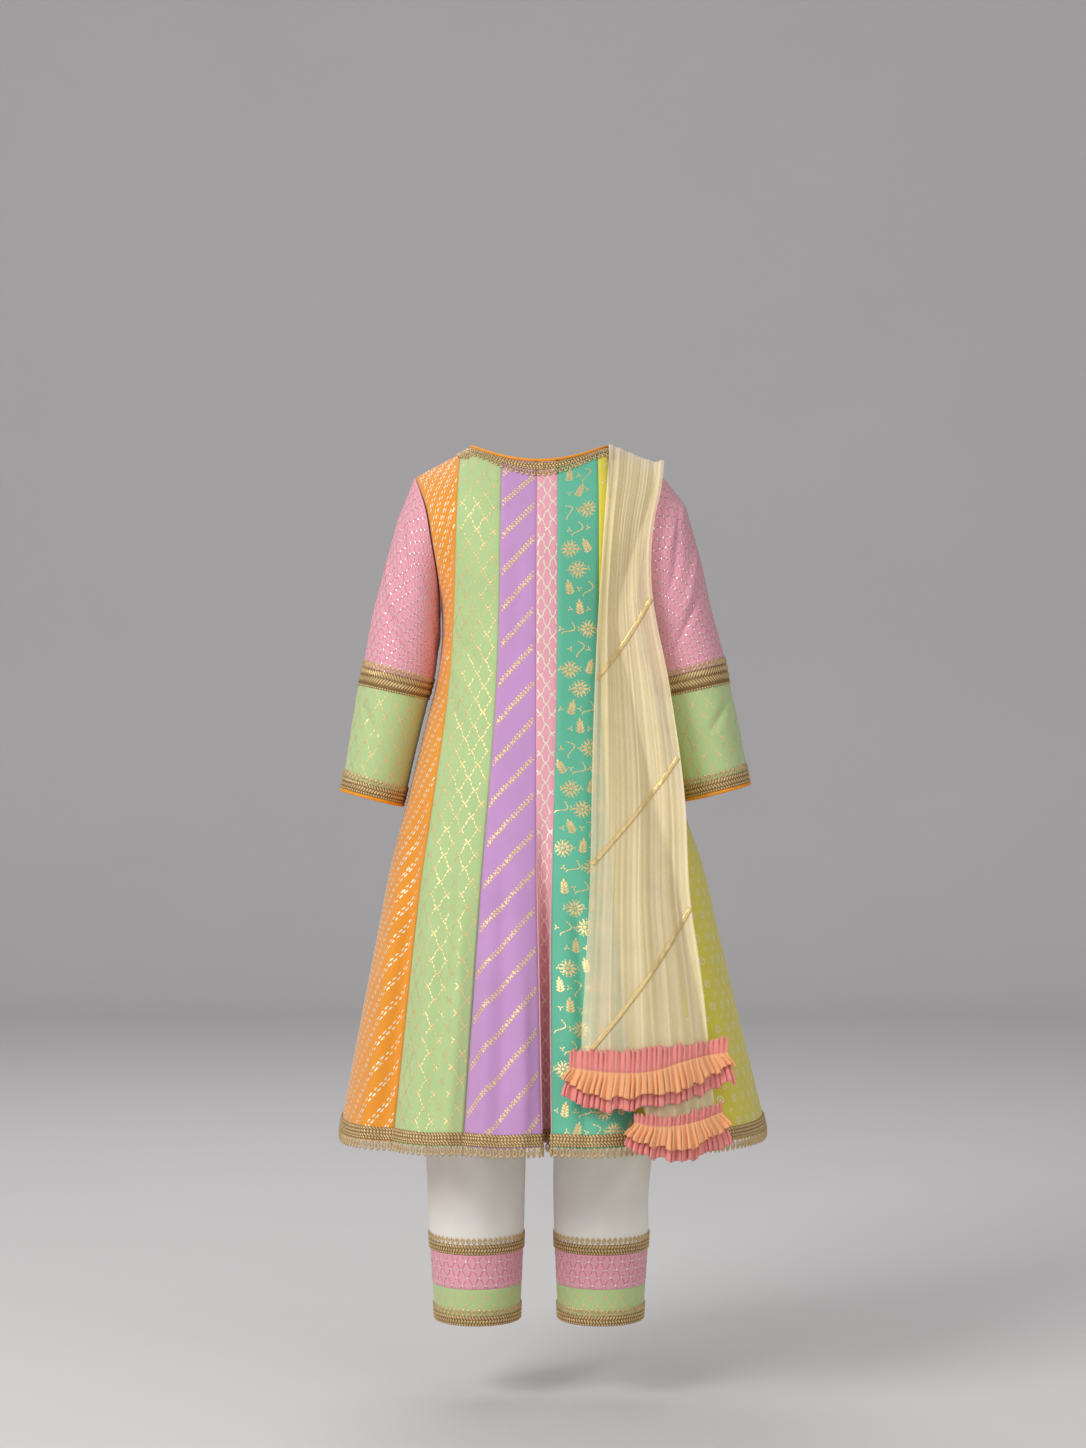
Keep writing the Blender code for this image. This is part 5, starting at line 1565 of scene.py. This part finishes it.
class ANARKALI_OT_sleeves(bpy.types.Operator):
    """Add both sleeves with their laces, cuffs and piping"""
    bl_idname = "anarkali.sleeves"
    bl_label = "Sleeves"

    def execute(self, context):
        """Build the sleeves, one arm after the other."""
        sizes = context.scene.anarkali_sizes
        for number, label in enumerate(ARMS):
            self.add_sleeve(sizes, label, sizes.seed + 40 + number)
        return {"FINISHED"}

    def add_sleeve(self, sizes, label, seed):
        """One sleeve: pink above the elbow lace, green below it."""
        lift = mark_lift(sizes)
        upper = sleeve_patch(label, 0.0, ELBOW, 70, sizes.crease)
        piece = add_cloth(f"{label}_upper_sleeve", upper, finish("Pink cotton"), sizes.cloth,
                          (f"{label}_sleeve_upper",))
        places, angles, knots, grow = lattice_marks(upper, (0.0115, 0.0165), 0.0, 3, seed, 0.002)
        thread = add_motifs(f"{label}_upper_sleeve_thread", [
            stamp(upper, dash_outline(0.0033, 0.0010), places, angles, lift, 0.0002, grow)],
            finish("Dark pink thread"))
        rng = np.random.default_rng(seed)
        angle = rng.choice([0.0, np.pi / 3.0, -np.pi / 3.0], len(knots))
        sequins = add_motifs(f"{label}_upper_sleeve_sequins", [
            stamp(upper, dash_outline(0.0036, 0.0020), knots, angle, lift + 0.0001, 0.0005)],
            finish("Silver sequins"))
        lower = sleeve_patch(label, ELBOW, CUFF, 44, sizes.crease)
        piece = add_cloth(f"{label}_lower_sleeve", lower, finish("Green cotton"),
                          sizes.cloth, (f"{label}_sleeve_lower",))
        work = add_motifs(f"{label}_lower_sleeve_work", green_marks(lower, sizes, seed),
                          finish("Gold foil"))
        over = sizes.cloth / 2.0 + 0.0004
        elbow = sleeve_patch(label, ELBOW_LACE[0] - 0.30, ELBOW_LACE[1], 24, sizes.crease)
        top = elbow.length * 0.30 / (ELBOW_LACE[1] - ELBOW_LACE[0] + 0.30)
        self.add_arm_lace(f"{label}_elbow", elbow, top + 0.008, elbow.length, over, f"{label}_elbow_lace",
                          f"{label}_lower_sleeve")
        cuff = sleeve_patch(label, CUFF_LACE[0] - 0.10, CUFF_LACE[1], 20, sizes.crease)
        self.add_arm_lace(f"{label}_cuff", cuff, cuff.length - 0.0125, cuff.length - 0.0004, over,
                          f"{label}_cuff_lace", f"{label}_lower_sleeve")
        edge = lower.points[-1, :-1]
        away = unit(lower.points[-1, :-1] - lower.points[-3, :-1]) * (PIPING_RADIUS + 0.0002)
        add_tube(f"{label}_cuff_cord", edge + away, PIPING_RADIUS, finish("Orange piping"),
                 (f"{label}_cuff_piping",))

    def add_arm_lace(self, name, patch, top, bottom, lift, node, seat):
        """A braid round the arm with its drops pointing up."""
        add_lace(f"{name}_braid", patch, top, bottom, 2, top + 0.0004, 0.0080, lift, node,
                 upward=True, pitch=0.0060)


class ANARKALI_OT_trousers(bpy.types.Operator):
    """Add the trousers with their bands and laces"""
    bl_idname = "anarkali.trousers"
    bl_label = "Trousers"

    def execute(self, context):
        """Build both legs and the waistband."""
        sizes = context.scene.anarkali_sizes
        for number, label in enumerate(ARMS):
            self.add_leg(sizes, label, sizes.seed + 60 + number)
        half = hip_rows(np.array([[WAIST]]))[0]
        ring = np.concatenate([half, (half * [-1.0, 1.0, 1.0])[::-1], half[:1]])
        rows = []
        for share in np.linspace(0.0, 1.0, 9):
            row = ring.copy()
            row[:, 2] = WAISTBAND_TOP + (WAIST - WAISTBAND_TOP) * share
            rows.append(row)
        patch = Patch(even_columns(np.stack(rows), 281), -1, wrap=True)
        turn = np.linspace(0.0, 2.0 * np.pi, 281)[None, :]
        fall = np.linspace(0.0, np.pi, 9)[:, None]
        patch = patch.raised(0.0009 * np.cos(44.0 * turn + 0.7 * np.sin(5.0 * turn)) * np.sin(fall))
        piece = add_cloth("elastic_waistband", patch, finish("White cotton"),
                          0.0022, ("waistband",))
        return {"FINISHED"}

    def add_leg(self, sizes, label, seed):
        """One leg: white cotton, lace, pink band, green band and hem lace."""
        white = leg_patch(label, WAIST, PINK_BAND[0], 96, sizes.crease)
        piece = add_cloth(f"{label}_trouser_leg", white, finish("White cotton"), sizes.cloth,
                          (f"{label}_leg",))
        pink = leg_patch(label, PINK_BAND[0], PINK_BAND[1], 16, sizes.crease)
        green = leg_patch(label, GREEN_BAND[0], GREEN_BAND[1], 16, sizes.crease)
        lift = mark_lift(sizes)
        piece = add_cloth(f"{label}_pink_band", pink, finish("Pink cotton"), sizes.cloth,
                          (f"{label}_leg_pink_band",))
        places, angles, knots, grow = lattice_marks(pink, (0.0125, 0.0165), 0.4, 3, seed, 0.002)
        thread = add_motifs(f"{label}_pink_band_thread", [
            stamp(pink, dash_outline(0.0036, 0.0011), places, angles, lift, 0.0002, grow)],
            finish("Dark pink thread"))
        sequins = add_motifs(f"{label}_pink_band_sequins", [
            stamp(pink, dash_outline(0.0036, 0.0020), knots, 0.5, lift + 0.0001, 0.0005)],
            finish("Silver sequins"))
        piece = add_cloth(f"{label}_green_band", green, finish("Green cotton"), sizes.cloth,
                          (f"{label}_leg_green_band",))
        places, angles, knots, grow = lattice_marks(green, (0.016, 0.017), 0.4, 3, seed + 5, 0.002)
        work = add_motifs(f"{label}_green_band_work", [
            stamp(green, dash_outline(0.0034, 0.0011), places, angles, lift, 0.0002, grow),
            stamp(green, round_outline(0.0012, 6), knots, 0.0, lift, 0.0005)],
            finish("Gold foil"))
        over = sizes.cloth / 2.0 + 0.0004
        for node, (high, low), seat in (
            ("leg_lace", LEG_LACE, "pink_band"),
            ("leg_hem_lace", LEG_HEM_LACE, "green_band"),
        ):
            around = leg_patch(label, high + 0.004, low, 14, sizes.crease)
            top = around.length - 0.0105
            add_lace(f"{label}_{node}_braid", around, top, around.length - 0.0003, 2, top + 0.0004,
                     0.0082, over, f"{label}_{node}", upward=True, pitch=0.0061)


class ANARKALI_OT_dupatta(bpy.types.Operator):
    """Add the net dupatta with its ribbons and ruffles"""
    bl_idname = "anarkali.dupatta"
    bl_label = "Dupatta"

    def execute(self, context):
        """Build the net, then the ribbons on it and the ruffles at its ends."""
        sizes = context.scene.anarkali_sizes
        patch, lines = dupatta_patch()
        piece = add_cloth("net_dupatta", patch, finish("Cream net"), 0.0, ("dupatta",))
        fold = piece.data.attributes.new("fold", "FLOAT", "POINT")
        fold.data.foreach_set("value", lines.ravel())
        ribbons = [self.add_ribbon(f"{label}_ribbon_{number + 1}", line, side, sizes.ribbon)
                   for label, side in SIDES.items() for number, line in enumerate(RIBBONS[side])]
        for name in TIERS:
            for colour, material in (("pink", "Pink net"), ("peach", "Peach net")):
                layer = ruffle_patch(name, colour, sizes.ruffle_wave)
                ruffle = add_cloth(f"{name}_{colour}_frill", layer, finish(material),
                                   sizes.net, (f"{name}_ruffle_{colour}",))
        return {"FINISHED"}

    def add_ribbon(self, name, line, side, width):
        """A flat metal ribbon along a straight line on the net."""
        share_from, drop_from, share_to, drop_to = line[:4]
        lift = line[4] if len(line) > 4 else 0.0006
        along = np.linspace(0.0, 1.0, 140)[None, :]
        slope = (drop_to - drop_from)
        off = np.linspace(-0.5, 0.5, 4)[:, None] * width
        drop = drop_from + (drop_to - drop_from) * along
        inner = read(DRAPE, DRAPE_COLUMNS, "inner", drop)
        outer = read(DRAPE, DRAPE_COLUMNS, "outer", drop)
        across = share_from + (share_to - share_from) * along
        run = (share_to - share_from) * (outer - inner)
        full = np.hypot(run, slope)
        share = np.clip(across + off * slope / full / (outer - inner), 0.0, 1.0)
        points = drape_surface(share, drop - off * run / full, side, lift)
        strip = Patch(points, side)
        return add_cloth(name, strip, finish("Rose gold ribbon"), 0.0003)


class ANARKALI_OT_stage(bpy.types.Operator):
    """Add the floor, the lights and the camera"""
    bl_idname = "anarkali.stage"
    bl_label = "Stage"

    def execute(self, context):
        """Set up a plain studio."""
        scene = context.scene
        colours = scene.anarkali_colours
        material, tree, shader = new_material("Studio floor", Roughness=0.9)
        where = add_node(tree, "ShaderNodeTexCoord").outputs["Object"]
        tree.links.new(mottled(tree, tuple(colours.floor), 0.02, 3.0, where), shader.inputs["Base Color"])
        reach = np.linspace(0.0, 1.0, 40)
        turn = reach * np.pi / 2.0
        sweep_y = np.concatenate([[FLOOR_REACH], 1.0 - BACKDROP - np.sin(turn), [-BACKDROP]])
        sweep_z = np.concatenate([[FLOOR], FLOOR + 1.0 - np.cos(turn), [FLOOR + 5.0]])
        points = np.stack([
            np.stack([np.full(len(sweep_y), x), sweep_y, sweep_z], axis=-1)
            for x in (-FLOOR_REACH, FLOOR_REACH)
        ], axis=1)
        mesh = bpy.data.meshes.new("Studio floor")
        mesh.from_pydata(points.reshape(-1, 3).tolist(), [], grid_faces(len(points), 2, False).tolist())
        mesh.shade_smooth()
        mesh.materials.append(material)
        floor = bpy.data.objects.new("Studio floor", mesh)
        scene.collection.objects.link(floor)
        lights = [
            self.add_light(scene, "Key light", (2.2, 2.5, 1.5), 1.7, 92.0),
            self.add_light(scene, "Fill light", (-2.4, 2.8, 0.7), 2.6, 26.0),
            self.add_light(scene, "Front light", (0.6, -1.8, 1.9), 2.0, 24.0),
        ]
        world = bpy.data.worlds.new("Studio")
        world.use_nodes = True
        world.node_tree.nodes["Background"].inputs["Color"].default_value = (0.86, 0.87, 0.90, 1.0)
        world.node_tree.nodes["Background"].inputs["Strength"].default_value = 0.40
        scene.view_settings.view_transform = "Standard"
        scene.world = world
        data = bpy.data.cameras.new("Camera")
        data.lens = CAMERA_LENS
        camera = bpy.data.objects.new("Camera", data)
        camera.location = CAMERA_PLACE
        camera.rotation_euler = (np.pi / 2.0, 0.0, np.pi)
        scene.collection.objects.link(camera)
        scene.camera = camera
        return {"FINISHED"}

    def add_light(self, scene, name, place, size, power):
        """A square soft light that faces the middle of the set."""
        data = bpy.data.lights.new(name, "AREA")
        data.size = size
        data.energy = power
        light = bpy.data.objects.new(name, data)
        light.location = place
        aim = np.array([0.0, 0.0, -0.45]) - place
        pitch = np.arctan2(np.hypot(aim[0], aim[1]), -aim[2])
        light.rotation_euler = (pitch, 0.0, np.arctan2(-aim[0], aim[1]))
        scene.collection.objects.link(light)
        return light


OPERATORS = (
    ANARKALI_OT_stage,
    ANARKALI_OT_kurta,
    ANARKALI_OT_neck,
    ANARKALI_OT_hem,
    ANARKALI_OT_sleeves,
    ANARKALI_OT_trousers,
    ANARKALI_OT_dupatta,
)


class ANARKALI_PT_panel(bpy.types.Panel):
    """Buttons, sizes and colours of the set"""
    bl_idname = "ANARKALI_PT_panel"
    bl_label = "Anarkali set"
    bl_space_type = "VIEW_3D"
    bl_region_type = "UI"
    bl_category = "Anarkali"

    def draw(self, context):
        """List the operators and every setting."""
        for operator in OPERATORS:
            self.layout.operator(operator.bl_idname)
        for group in (context.scene.anarkali_sizes, context.scene.anarkali_colours):
            box = self.layout.box()
            for name in type(group).__annotations__:
                box.prop(group, name)


CLASSES = (AnarkaliSizes, AnarkaliColours) + OPERATORS + (ANARKALI_PT_panel,)


def register():
    """Register the classes and the settings on the scene."""
    for item in CLASSES:
        bpy.utils.register_class(item)
    bpy.types.Scene.anarkali_sizes = PointerProperty(type=AnarkaliSizes)
    bpy.types.Scene.anarkali_colours = PointerProperty(type=AnarkaliColours)


def unregister():
    """Take the settings and classes away."""
    del bpy.types.Scene.anarkali_colours
    del bpy.types.Scene.anarkali_sizes
    for item in reversed(CLASSES):
        bpy.utils.unregister_class(item)


def main():
    """Build the set."""
    register()
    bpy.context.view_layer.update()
    bpy.ops.anarkali.stage()
    bpy.ops.anarkali.kurta()
    bpy.ops.anarkali.neck()
    bpy.ops.anarkali.hem()
    bpy.ops.anarkali.sleeves()
    bpy.ops.anarkali.trousers()
    bpy.ops.anarkali.dupatta()


if __name__ == "__main__":
    main()
